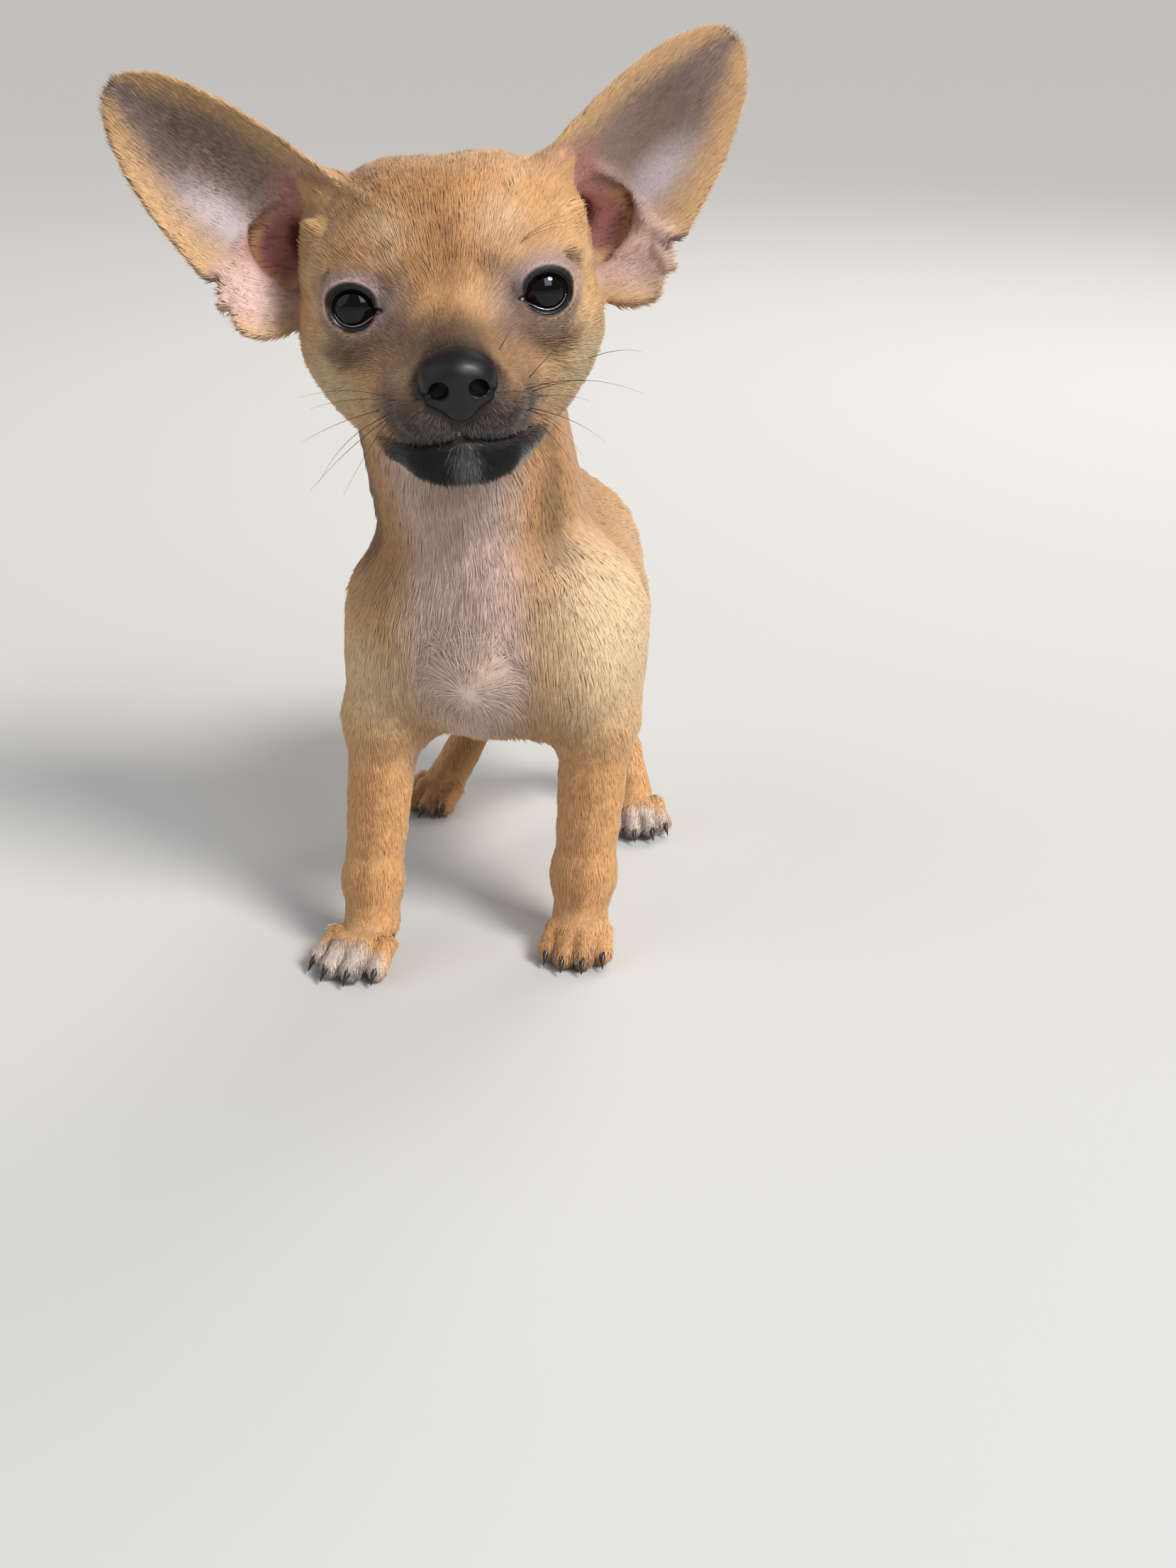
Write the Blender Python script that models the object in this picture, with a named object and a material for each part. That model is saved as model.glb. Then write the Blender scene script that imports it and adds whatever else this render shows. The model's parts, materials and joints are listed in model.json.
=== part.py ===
"""A smooth-coated chihuahua puppy, about nine weeks old, standing still and facing -Y.

The whole body is shaped first as one blended form and is then parted with thin cuts into
the pieces that a person would name. Sizes are in millimetres in the dog's own frame: +X is
the dog's left, -Y is forward and +Z is up. The finished meshes are in metres, with the
origin under the middle of the animal's box.
"""

import math

import bmesh
import bpy
import numpy as np

# Driving sizes
STEP = 0.8
GAP = 0.34
EYE_SPACING = 39.6
EYE_RADIUS = 6.5
EYE_SOCKET = 6.9
LID_RADIUS = 8.2
EYE_OPENING = (5.3, 4.9)
EYE_TURN_OUT = 12.0
NOSE_WIDTH = 15.4
MOUTH_MIDDLE = -26.4
MOUTH_HALF_WIDTH = 16.6
MOUTH_GROOVE = 1.0
EAR_LENGTH = 60.0
EAR_OUTER_HALF = 22.3
EAR_INNER_HALF = 14.8
EAR_THICKNESS = 2.3
TAIL_RADIUS = 5.2
HEAD_PLACE = np.array((-0.8, -73.0, 166.6))
HEAD_YAW = 16.0
HEAD_NOSE_UP = 2.0
HEAD_ROLL = 4.2
FAR = 40.0
MM = 0.001

# Triangles left in each piece
BUDGET = {
    "torso": 1300, "neck": 420, "head": 3800, "tail": 240, "nose": 420,
    "ear": 760, "front_leg": 880, "hind_leg": 880,
}

COLOURS = {
    "fawn": ((0.56, 0.33, 0.16), 0.75),
    "cream": ((0.70, 0.55, 0.44), 0.75),
    "ear": ((0.50, 0.33, 0.27), 0.7),
    "nose": ((0.012, 0.011, 0.012), 0.35),
    "eye": ((0.008, 0.006, 0.006), 0.05),
}


def turn(axis, degrees):
    """Rotation matrix about X, Y or Z."""
    c = math.cos(math.radians(degrees))
    s = math.sin(math.radians(degrees))
    if axis == "X":
        return np.array(((1, 0, 0), (0, c, -s), (0, s, c)))
    if axis == "Y":
        return np.array(((c, 0, s), (0, 1, 0), (-s, 0, c)))
    return np.array(((c, -s, 0), (s, c, 0), (0, 0, 1)))


HEAD_TURN = turn("Z", HEAD_YAW) @ turn("X", -HEAD_NOSE_UP) @ turn("Y", -HEAD_ROLL)


def on_head(x, y, z):
    """A place given from the middle of the eyes, in the head's own axes."""
    return HEAD_PLACE + HEAD_TURN @ np.array((x, y, z), float)


# Forms: each is a distance function with the corners of its box

def ellipsoid(centre, radii, turned=None):
    centre = np.asarray(centre, float)
    radii = np.asarray(radii, float)
    axes = np.eye(3) if turned is None else turned

    def distance(points):
        local = (points - centre) @ axes
        scaled = np.linalg.norm(local / radii, axis=-1)
        slope = np.linalg.norm(local / radii ** 2, axis=-1)
        return scaled * (scaled - 1.0) / np.maximum(slope, 1e-6)

    reach = np.sqrt(((axes * radii) ** 2).sum(axis=1))
    return distance, centre - reach, centre + reach


def limb(start, end, start_radius, end_radius, wide=1.0):
    """A bone's length of flesh, round at both ends, wide times as broad along X."""
    start = np.asarray(start, float)
    end = np.asarray(end, float)
    squeeze = np.array((1.0 / wide, 1.0, 1.0))
    along = (end - start) * squeeze
    length2 = float(along @ along)

    def distance(points):
        local = (points - start) * squeeze
        share = np.clip(local @ along / length2, 0.0, 1.0)
        gap = np.linalg.norm(local - share[..., None] * along, axis=-1)
        return gap - (start_radius + (end_radius - start_radius) * share)

    reach = max(start_radius, end_radius) * np.array((wide, 1.0, 1.0))
    return distance, np.minimum(start, end) - reach, np.maximum(start, end) + reach


def path(points, radius):
    """A soft groove or ridge of one radius along a few points."""
    parts = [limb(a, b, radius, radius) for a, b in zip(points[:-1], points[1:])]

    def distance(where):
        result = parts[0][0](where)
        for part in parts[1:]:
            result = np.minimum(result, part[0](where))
        return result

    low = np.min([part[1] for part in parts], axis=0)
    high = np.max([part[2] for part in parts], axis=0)
    return distance, low, high


def smooth_least(a, b, blend):
    if blend <= 0:
        return np.minimum(a, b)
    share = np.maximum(blend - np.abs(a - b), 0.0) / blend
    return np.minimum(a, b) - share * share * blend * 0.25


class Clay:
    """A block of clay on a grid. Each value is the distance to the surface."""

    def __init__(self, low, high, step):
        self.low = np.asarray(low, float)
        self.step = step
        self.count = np.ceil((np.asarray(high, float) - self.low) / step).astype(int) + 1
        self.value = np.full(self.count, FAR, np.float32)

    def part_near(self, low, high, margin):
        first = np.floor((low - margin - self.low) / self.step).astype(int)
        last = np.ceil((high + margin - self.low) / self.step).astype(int) + 1
        first = np.clip(first, 0, self.count)
        last = np.clip(last, 0, self.count)
        return tuple(slice(a, b) for a, b in zip(first, last))

    def points(self, part):
        axes = [self.low[i] + self.step * np.arange(part[i].start, part[i].stop) for i in range(3)]
        return np.stack(np.meshgrid(*axes, indexing="ij"), axis=-1)

    def add(self, form, blend=0.0):
        distance, low, high = form
        part = self.part_near(low, high, 1.6 * blend + 4 * self.step)
        near = distance(self.points(part))
        self.value[part] = smooth_least(self.value[part], near, blend)

    def carve(self, form, blend=0.0):
        distance, low, high = form
        part = self.part_near(low, high, 1.6 * blend + 4 * self.step)
        near = distance(self.points(part))
        self.value[part] = -smooth_least(-self.value[part], near, blend)

    def value_at(self, place):
        """The value at one place, blended from the eight grid points round it."""
        spot = (np.asarray(place) - self.low) / self.step
        first = np.floor(spot).astype(int)
        share = spot - first
        total = 0.0
        for i in (0, 1):
            for j in (0, 1):
                for k in (0, 1):
                    weight = abs(1 - i - share[0]) * abs(1 - j - share[1]) * abs(1 - k - share[2])
                    total += weight * self.value[first[0] + i, first[1] + j, first[2] + k]
        return total

    def first_touch(self, start, direction, reach):
        """Where a line from outside first meets the surface."""
        for travelled in np.arange(0.0, reach, 0.2):
            place = start + direction * travelled
            if self.value_at(place) < 0:
                return place
        return start + direction * reach

    def plane(self, place, normal):
        """Distance above a plane over the whole grid."""
        normal = np.asarray(normal, float) / np.linalg.norm(normal)
        result = np.float32(-float(np.dot(place, normal)))
        for i in range(3):
            shape = [1, 1, 1]
            shape[i] = self.count[i]
            line = self.low[i] + self.step * np.arange(self.count[i])
            result = result + (normal[i] * line).astype(np.float32).reshape(shape)
        return result


# The head, in its own axes from the middle of the eyes

def head_mass(clay, centre, radii, blend, tilt=0.0):
    turned = HEAD_TURN @ turn("X", tilt)
    clay.add(ellipsoid(on_head(*centre), radii, turned), blend)


def head_limb(clay, start, end, start_radius, end_radius, blend):
    clay.add(limb(on_head(*start), on_head(*end), start_radius, end_radius), blend)


def eye_centre(side):
    return on_head(side * EYE_SPACING / 2, 6.0, 0.0)


def eye_axes(side):
    return HEAD_TURN @ turn("Z", side * EYE_TURN_OUT)


def shape_skull(clay):
    for side in (-1, 1):
        head_mass(clay, (side * 9.5, 27, 3.5), (21.5, 27, 24.5), 8)
        head_mass(clay, (side * 18, 20, -10), (15.5, 18, 15), 8)
        head_mass(clay, (side * 13, 19, -21), (13, 16, 12), 7)
        head_mass(clay, (side * 17.5, 8.5, 6.5), (11.5, 9.5, 8.5), 6)
        head_mass(clay, (side * 14, 6, -10), (11, 7.5, 10), 6)
        head_mass(clay, (side * 24, 32, 6), (8, 11, 17), 6)
    head_mass(clay, (0, 14, 8), (19, 14, 16), 8)


def shape_muzzle(clay):
    head_limb(clay, (0, 8, -9), (0, -10.0, -13.6), 13, 9.0, 7)
    for side in (-1, 1):
        head_limb(clay, (side * 9.5, 5, -19.0), (side * 6.3, -11.8, -19.8), 10.3, 7.8, 4)
    head_limb(clay, (0, 14, -24), (0, -7.5, -29.2), 13, 7.8, 3)
    for side in (-1, 1):
        head_limb(clay, (side * 9, 10, -26), (side * 4.5, -6.5, -29.6), 9, 6.8, 3)


def mouth_line(clay, side):
    """The line where the lips meet, from under the nose to the corner of the mouth."""
    points = []
    backward = HEAD_TURN @ np.array((0, 1.0, 0))
    for share in np.linspace(0, 1, 8):
        low = MOUTH_MIDDLE - 1.5 * math.sin(math.pi * share * 0.75)
        start = on_head(side * MOUTH_HALF_WIDTH * share, -34, low)
        points.append(clay.first_touch(start, backward, 40.0))
    return points


def shape_mouth(clay):
    lines = [mouth_line(clay, side) for side in (-1, 1)]
    for line in lines:
        clay.carve(path(line, MOUTH_GROOVE), 1.0)
    clay.carve(path([on_head(0, -20.6, -20), lines[0][0]], 0.8), 1.0)


def shape_lids(clay):
    for side in (-1, 1):
        centre = eye_centre(side)
        axes = eye_axes(side)
        clay.add(ellipsoid(centre, (LID_RADIUS,) * 3), 3)
        clay.carve(ellipsoid(centre, (EYE_SOCKET,) * 3))
        opening = (EYE_OPENING[0], 6.0, EYE_OPENING[1])
        clay.carve(ellipsoid(centre + axes @ np.array((0, -EYE_RADIUS, 0)), opening, axes), 0.8)


def shape_ear_canals(clay):
    for side in (-1, 1):
        clay.carve(ellipsoid(on_head(side * 31, 30, 3), (4, 4.5, 7), HEAD_TURN), 4)


def nose_leather(clay):
    """The nose leather: a rounded pad, wide above and narrow below."""
    clay.add(ellipsoid(on_head(0, -16.6, -12.2), (NOSE_WIDTH / 2, 6.4, 5.2), HEAD_TURN), 0)
    for side in (-1, 1):
        clay.add(ellipsoid(on_head(side * 4.2, -17.0, -14.6), (3.9, 5.4, 5.0), HEAD_TURN), 2)
    clay.add(limb(on_head(0, -17.4, -13), on_head(0, -17.2, -20.4), 4.6, 2.0), 3)


def shape_nostrils(clay):
    for side in (-1, 1):
        hole = [on_head(side * 3.4, -23.0, -15.2), on_head(side * 3.8, -19.9, -14.9)]
        clay.carve(path(hole, 1.5), 0.8)
        slit = [on_head(side * 4.0, -22.4, -15.4), on_head(side * 7.6, -19.0, -16.4)]
        clay.carve(path(slit, 0.7), 0.8)
    clay.carve(path([on_head(0, -23.8, -14), on_head(0, -20.0, -21.5)], 0.45), 0.6)


# The ears: a cupped leaf whose depth is a height over its own plane

EAR_LOOK = {
    -1: {"reach": 0.985, "root": (25.5, 25.0, 7.5), "lean": 46.5},
    1: {"reach": 0.965, "root": (25.0, 25.0, 7.5), "lean": 46.0},
}


def ear_axes(side):
    """Columns: across towards the outer edge, back, and out along the ear."""
    look = EAR_LOOK[side]
    out = math.radians(look["lean"])
    along = np.array((math.sin(out), 0.06, math.cos(out)))
    along /= np.linalg.norm(along)
    back = np.array((0.10, 1.0, 0.0))
    back -= along * (back @ along)
    back /= np.linalg.norm(back)
    across = np.cross(back, along)
    axes = np.stack((across, back, along), axis=1)
    axes[0] *= side
    return HEAD_TURN @ axes


def ear_form(side):
    look = EAR_LOOK[side]
    axes = ear_axes(side)
    x, y, z = look["root"]
    root = on_head(side * x, y, z)
    length = EAR_LENGTH * look["reach"]

    def distance(points):
        local = (points - root) @ axes
        across, back, along = local[..., 0], local[..., 1], local[..., 2]
        share = np.clip(along / length, -0.3, 1.0)
        grown = np.clip(share, 0.0, 1.0)
        tip = np.sqrt(np.maximum(1 - grown ** 3.1, 1e-4))
        lobe = 2.4 * np.exp(-((share - 0.07) / 0.1) ** 2) - 1.4 * np.exp(-((share - 0.27) / 0.035) ** 2)
        closing = 6.5 * np.clip((0.12 - share) / 0.2, 0, 2) ** 2
        outer = EAR_OUTER_HALF * (1 - 0.25 * grown) * tip + lobe - closing
        inner = EAR_INNER_HALF * (1 - 0.05 * grown) * tip
        half = np.where(across > 0, outer, inner)
        edge = across / np.maximum(half, 0.5)
        cup = 17.0 * (1 - grown) ** 1.2 + 3.0 * (1 - grown ** 2)
        bowl = cup * (1 - np.clip(np.abs(edge), 0, 1.4) ** 2) - 9.5 * (1 - grown) ** 1.3
        slope = 2 * cup * np.abs(edge) / np.maximum(half, 2.0)
        sheet = np.abs(back - bowl) / np.sqrt(1 + slope ** 2) - EAR_THICKNESS / 2 - 0.9 * (1 - grown) ** 3
        rim = (np.abs(across) - half) * 0.8
        ends = np.maximum(along - length, -along - 8.0)
        outline = np.maximum(rim, ends)
        return -smooth_least(-sheet, -outline, 1.2)

    corners = [root + axes @ np.array((a, b, c)) for a in (-18, 27) for b in (-10, 20) for c in (-10, length + 2)]
    return distance, np.min(corners, axis=0), np.max(corners, axis=0)


# The body

def shape_trunk(clay):
    clay.add(ellipsoid((-1.5, -11, 77.5), (32.5, 45, 28)), 0)
    clay.add(ellipsoid((-2.5, -4, 92), (17, 44, 21.5)), 8)
    clay.add(ellipsoid((-4.5, 20, 77), (26, 36, 26.5)), 8)
    clay.add(ellipsoid((-7.5, 38, 80), (20.5, 22, 22.5)), 8)
    clay.add(limb((-3, 0, 95), (-7.5, 42, 86), 17, 15), 6)
    clay.add(ellipsoid((-1, -42, 82), (21, 20, 25)), 8)
    clay.add(limb((-10, -42, 148), (-4.5, -30, 101), 23.5, 25), 10)
    clay.add(limb((-8, -32, 132), (-4, -5, 97), 17, 18), 9)


def shape_shoulder(clay, side):
    clay.add(ellipsoid((side * 18 - 1.5, -35, 80), (17.5, 22, 27), turn("X", 12)), 8)


FRONT = {
    -1: {"elbow": (-27.5, -43, 60), "wrist": (-29.3, -52, 20), "ankle": (-29.0, -55, 10),
         "lower": 7.2, "heading": 14.0, "paw": (-29.0, -56.5), "spread": 1.12},
    1: {"elbow": (23.0, -33, 60), "wrist": (20.8, -38, 20), "ankle": (20.2, -39.5, 10),
        "lower": 7.8, "heading": -4.0, "paw": (20.3, -38.5), "spread": 0.92},
}
HIND = {
    -1: {"thigh": (-24.0, 35, 68), "knee": (-27.0, 27, 54), "hock": (-27.0, 54, 28), "ankle": (-36.5, 46.5, 9),
         "heading": 22.0, "paw": (-37.0, 46.0), "spread": 1.0},
    1: {"thigh": (8.0, 36, 68), "knee": (11.5, 29, 54), "hock": (10.0, 54, 27), "ankle": (17.0, 44, 9),
        "heading": -22.0, "paw": (17.5, 42.0), "spread": 1.0},
}
TOE_SIDES = (-6.6, -2.35, 2.35, 6.6)
TOE_REACH = (12.2, 15.8, 15.8, 12.2)


def paw_frame(look):
    """The paw's heel on the floor, its heading and its outward side."""
    angle = math.radians(look["heading"])
    ahead = np.array((-math.sin(angle), -math.cos(angle), 0))
    across = np.array((math.cos(angle), -math.sin(angle), 0))
    heel = np.array((look["paw"][0], look["paw"][1], 0.0))
    return heel, ahead, across


def shape_paw(clay, look, size):
    heel, ahead, across = paw_frame(look)
    up = np.array((0, 0, 1.0))
    clay.add(ellipsoid(heel + ahead * 4.5 * size + up * 5.0, (7.6 * size, 8.2 * size, 6.4)), 3)
    for offset, reach in zip(TOE_SIDES, TOE_REACH):
        side_step = across * offset * look["spread"] * size
        knuckle = heel + ahead * (reach - 7.5) * size + side_step * 0.85 + up * 6.6
        tip = heel + ahead * (reach - 1.6) * size + side_step * 1.08 + up * 3.1
        clay.add(limb(knuckle, tip, 3.5 * size, 3.3 * size), 1.6)


def shape_claws(clay, look, size):
    heel, ahead, across = paw_frame(look)
    up = np.array((0, 0, 1.0))
    for offset, reach in zip(TOE_SIDES, TOE_REACH):
        side_step = across * offset * look["spread"] * size
        root = heel + ahead * (reach - 0.4) * size + side_step * 1.12 + up * 4.4
        tip = heel + ahead * (reach + 4.4) * size + side_step * 1.22 + up * 1.3
        clay.add(limb(root, tip, 1.35, 0.65), 0.8)


def shape_front_leg(clay, side):
    look = FRONT[side]
    elbow = np.array(look["elbow"], float)
    wrist = np.array(look["wrist"], float)
    shoulder = np.array((side * 20 - 1, elbow[1] + 3.0, 84))
    clay.add(limb(shoulder, elbow, 15, 10.4), 7)
    clay.add(limb(elbow + np.array((0, 4, 0)), elbow + np.array((0, 8, 0)), 5.5, 4.0), 6)
    clay.add(limb(elbow, wrist, 9.6, look["lower"]), 5)
    clay.add(limb(wrist, look["ankle"], look["lower"], 7.4), 4)
    shape_paw(clay, look, 1.0)
    shape_claws(clay, look, 1.0)


def shape_hind_leg(clay, side):
    look = HIND[side]
    hock = np.array(look["hock"], float)
    clay.add(ellipsoid(look["thigh"], (12.5, 20, 27), turn("X", -14)), 7)
    clay.add(limb(look["knee"], hock, 10, 5.2), 5)
    clay.add(limb(hock, hock + np.array((0, 3.5, 2.0)), 4.6, 3.6), 3)
    clay.add(limb(hock, look["ankle"], 5.4, 5.8), 3)
    shape_paw(clay, look, 0.92)
    shape_claws(clay, look, 0.92)


TAIL_PATH = ((-8, 52, 90), (-8.5, 66, 84), (-9, 77, 75), (-9, 88, 69), (-8.5, 99, 69), (-8, 108, 74))


def shape_tail(clay):
    count = len(TAIL_PATH) - 1
    for i in range(count):
        radii = [TAIL_RADIUS * (1 - 0.62 * (i + k) / count) for k in (0, 1)]
        clay.add(limb(TAIL_PATH[i], TAIL_PATH[i + 1], *radii), 4 if i == 0 else 2)


def whole_body(step):
    """All the flesh but the ears, the nose leather and the eyes, as one block."""
    clay = Clay((-52, -104, -4), (48, 114, 204), step)
    shape_trunk(clay)
    for side in (-1, 1):
        shape_shoulder(clay, side)
        shape_hind_leg(clay, side)
        shape_front_leg(clay, side)
    shape_tail(clay)
    head = Clay(clay.low, clay.low + (clay.count - 1) * step, step)
    shape_skull(head)
    shape_muzzle(head)
    shape_ear_canals(head)
    shape_lids(head)
    shape_mouth(head)
    clay.value = smooth_least(clay.value, head.value, 5.0)
    clay.value = np.maximum(clay.value, -clay.plane((0, 0, 0), (0, 0, 1)))
    return clay


# From clay to mesh

def shifted(inside, axes, steps):
    """The grid moved by one step along some axes, cut to the same size as its fellows."""
    cut = [slice(None)] * 3
    for axis, move in zip(axes, steps):
        cut[axis] = slice(move, inside.shape[axis] - 1 + move)
    return tuple(cut)


def clear_doubts(value, step):
    """Empties the grid points where two sheets of surface would share an edge or a point."""
    outside = 0.05 * step
    for _ in range(12):
        inside = value < 0
        changed = 0
        for axes in ((0, 1), (1, 2), (0, 2)):
            spots = {move: shifted(inside, axes, move) for move in ((0, 0), (1, 0), (0, 1), (1, 1))}
            for one, two, three, four in (((0, 0), (1, 1), (1, 0), (0, 1)), ((1, 0), (0, 1), (0, 0), (1, 1))):
                bad = inside[spots[one]] & inside[spots[two]] & ~inside[spots[three]] & ~inside[spots[four]]
                changed += int(bad.sum())
                value[spots[one]][bad] = outside
        for move in ((0, 0, 0), (1, 0, 0), (0, 1, 0), (0, 0, 1)):
            far = tuple(1 - m for m in move)
            one, two = (shifted(inside, (0, 1, 2), m) for m in (move, far))
            total = sum(inside[shifted(inside, (0, 1, 2), (i, j, k))].astype(np.int8)
                        for i in (0, 1) for j in (0, 1) for k in (0, 1))
            lonely = inside[one] & inside[two] & (total == 2)
            hollow = ~inside[one] & ~inside[two] & (total == 6)
            changed += int(lonely.sum() + hollow.sum())
            value[one][lonely] = outside
            value[one][hollow] = -outside
        if not changed:
            return


def closed_skin(value, low, step):
    """Vertices and four-sided faces of the surface where the value is zero."""
    clear_doubts(value, step)
    inside = value < 0
    corners = [(i, j, k) for i in (0, 1) for j in (0, 1) for k in (0, 1)]
    nx, ny, nz = (n - 1 for n in value.shape)
    filled = sum(inside[i:i + nx, j:j + ny, k:k + nz].astype(np.int8) for i, j, k in corners)
    cells = np.argwhere((filled > 0) & (filled < 8))
    number = np.full((nx, ny, nz), -1, np.int32)
    number[tuple(cells.T)] = np.arange(len(cells))
    place = np.zeros((len(cells), 3))
    count = np.zeros(len(cells))
    for axis in range(3):
        for corner in (c for c in corners if c[axis] == 0):
            a = cells + corner
            b = a.copy()
            b[:, axis] += 1
            va = value[tuple(a.T)]
            vb = value[tuple(b.T)]
            crossed = (va < 0) != (vb < 0)
            share = va[crossed] / (va[crossed] - vb[crossed])
            spot = np.tile(np.array(corner, float), (len(share), 1))
            spot[:, axis] += share
            place[crossed] += spot
            count[crossed] += 1
    vertices = low + step * (cells + place / count[:, None])
    faces = [quads_across(inside, number, axis) for axis in range(3)]
    return vertices, np.concatenate(faces)


def quads_across(inside, number, axis):
    """One quad round each grid edge along the axis that the surface crosses."""
    second, third = (axis + 1) % 3, (axis + 2) % 3
    ahead = np.take(inside, range(1, inside.shape[axis]), axis)
    behind = np.take(inside, range(inside.shape[axis] - 1), axis)
    edges = np.argwhere(ahead != behind)
    keep = (edges[:, second] > 0) & (edges[:, third] > 0)
    keep &= (edges[:, second] < inside.shape[second] - 1) & (edges[:, third] < inside.shape[third] - 1)
    edges = edges[keep]
    loops = []
    for back_second, back_third in ((1, 1), (0, 1), (0, 0), (1, 0)):
        cell = edges.copy()
        cell[:, second] -= back_second
        cell[:, third] -= back_third
        loops.append(number[tuple(cell.T)])
    quads = np.stack(loops, axis=1)
    starts_inside = behind[tuple(edges.T)]
    quads[~starts_inside] = quads[~starts_inside][:, ::-1]
    return quads


def material(name):
    colour, roughness = COLOURS[name]
    made = bpy.data.materials.get(name)
    if made is None:
        made = bpy.data.materials.new(name)
        made.use_nodes = True
        shader = made.node_tree.nodes["Principled BSDF"]
        shader.inputs["Base Color"].default_value = (*colour, 1.0)
        shader.inputs["Roughness"].default_value = roughness
        shader.inputs["Metallic"].default_value = 0.0
    return made


def keep_largest(mesh):
    """Deletes every loose scrap but the largest closed surface."""
    shape = bmesh.new()
    shape.from_mesh(mesh)
    left = set(shape.verts)
    groups = []
    while left:
        group = {left.pop()}
        front = list(group)
        while front:
            vertex = front.pop()
            for edge in vertex.link_edges:
                other = edge.other_vert(vertex)
                if other in left:
                    left.discard(other)
                    group.add(other)
                    front.append(other)
        groups.append(group)
    groups.sort(key=len)
    scraps = [vertex for group in groups[:-1] for vertex in group]
    bmesh.ops.delete(shape, geom=scraps, context="VERTS")
    shape.to_mesh(mesh)
    shape.free()


def settle_soles(mesh):
    """Presses what nearly touches the floor onto one level."""
    for vertex in mesh.vertices:
        if vertex.co.z < 0.25 * MM:
            vertex.co.z = 0.0


def piece(name, value, clay, triangles, finish):
    """One closed named piece from values on a block's grid."""
    vertices, faces = closed_skin(value, clay.low, clay.step)
    mesh = bpy.data.meshes.new(name)
    mesh.from_pydata((vertices * MM).tolist(), [], faces.tolist())
    keep_largest(mesh)
    shape = bpy.data.objects.new(name, mesh)
    bpy.context.scene.collection.objects.link(shape)
    shape.data.materials.append(material(finish))
    cut = shape.modifiers.new("fewer", "DECIMATE")
    cut.ratio = min(1.0, triangles / (2.0 * len(mesh.polygons)))
    baked = bpy.data.meshes.new_from_object(shape.evaluated_get(bpy.context.evaluated_depsgraph_get()))
    shape.modifiers.clear()
    shape.data = baked
    baked.name = name
    keep_largest(baked)
    settle_soles(baked)
    baked.shade_smooth()
    return shape


# Where the body is parted

def region(clay, planes):
    """Negative where all the planes, given by a place and an outward normal, hold."""
    return np.maximum.reduce([clay.plane(place, normal) for place, normal in planes])


def parting(clay):
    """Each limb's own region of the block."""
    chin_back = on_head(0, 12, -36)
    nape = on_head(0, 50, -8)
    slant = nape - chin_back
    side_line = HEAD_TURN @ np.array((1.0, 0, 0))
    up_out = np.cross(side_line, slant)
    parts = {"head": region(clay, [(chin_back, -up_out if up_out[2] > 0 else up_out)])}
    for side, word in ((-1, "right"), (1, "left")):
        parts["front_leg_" + word] = region(clay, [
            ((side * 12.5 - 1, -36, 54), (-side * 0.72, 0, 0.69)),
            ((side * 9 - 1, 0, 0), (-side, 0, 0)),
            ((0, -10, 60), (0, 0.85, 0.5)),
        ])
        parts["hind_leg_" + word] = region(clay, [
            ((side * 8 - 7.5, 36, 50), (-side * 0.75, 0, 0.66)),
            ((side * 5 - 7.5, 0, 0), (-side, 0, 0)),
            ((0, 8, 60), (0, -0.85, 0.5)),
        ])
    parts["tail"] = region(clay, [
        ((-8, 62.5, 87), (0, -1, 0.12)), ((0, 0, 60), (0, 0, -1)), ((-17, 0, 0), (-1, 0, 0)), ((1, 0, 0), (1, 0, 0)),
    ])
    return parts


def neck_region(clay):
    return region(clay, [((-2, -30, 112), (0.02, 0.42, -1))])


def same_grid(clay, low, high):
    """An empty block on the same grid points as the given one, but with its own box."""
    first = np.floor((np.asarray(low) - clay.low) / clay.step)
    return Clay(clay.low + first * clay.step, high, clay.step)


def read_at(clay, other):
    """The first block's values at the second block's grid points."""
    result = np.full(other.count, FAR, np.float32)
    shift = np.rint((other.low - clay.low) / clay.step).astype(int)
    first = np.maximum(shift, 0)
    last = np.minimum(shift + other.count, clay.count)
    source = tuple(slice(a, b) for a, b in zip(first, last))
    target = tuple(slice(a, b) for a, b in zip(first - shift, last - shift))
    result[target] = clay.value[source]
    return result


def build_flesh(clay):
    """Neck, torso, legs and tail, parted from one another."""
    parts = parting(clay)
    neck = neck_region(clay)
    limbs = [name for name in parts if name != "head"]
    torso = np.maximum(clay.value, -neck + GAP / 2)
    for name in limbs:
        kind = name.rsplit("_", 1)[0] if "_leg_" in name else name
        piece(name, np.maximum(clay.value, parts[name] + GAP / 2), clay, BUDGET[kind], "fawn")
        torso = np.maximum(torso, -parts[name] + GAP / 2)
    above_torso = np.maximum.reduce([clay.value, neck + GAP / 2, -parts["head"] + GAP / 2])
    piece("neck", above_torso, clay, BUDGET["neck"], "cream")
    piece("torso", torso, clay, BUDGET["torso"], "fawn")
    return parts["head"]


def build_head(clay, head_part):
    leather = same_grid(clay, clay.low, clay.low + (clay.count - 1) * clay.step)
    nose_leather(leather)
    head = np.maximum.reduce([clay.value, head_part + GAP / 2, GAP - leather.value])
    piece("head", head, clay, BUDGET["head"], "fawn")


def build_nose():
    middle = on_head(0, -18, -15)
    clay = Clay(middle - 16, middle + 16, STEP * 0.6)
    nose_leather(clay)
    shape_nostrils(clay)
    piece("nose", clay.value, clay, BUDGET["nose"], "nose")


def build_ear(clay, side, name):
    form = ear_form(side)
    ear = same_grid(clay, form[1] - 4, form[2] + 4)
    ear.add(form)
    value = np.maximum(ear.value, GAP - read_at(clay, ear))
    piece(name, value, ear, BUDGET["ear"], "ear")


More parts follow.
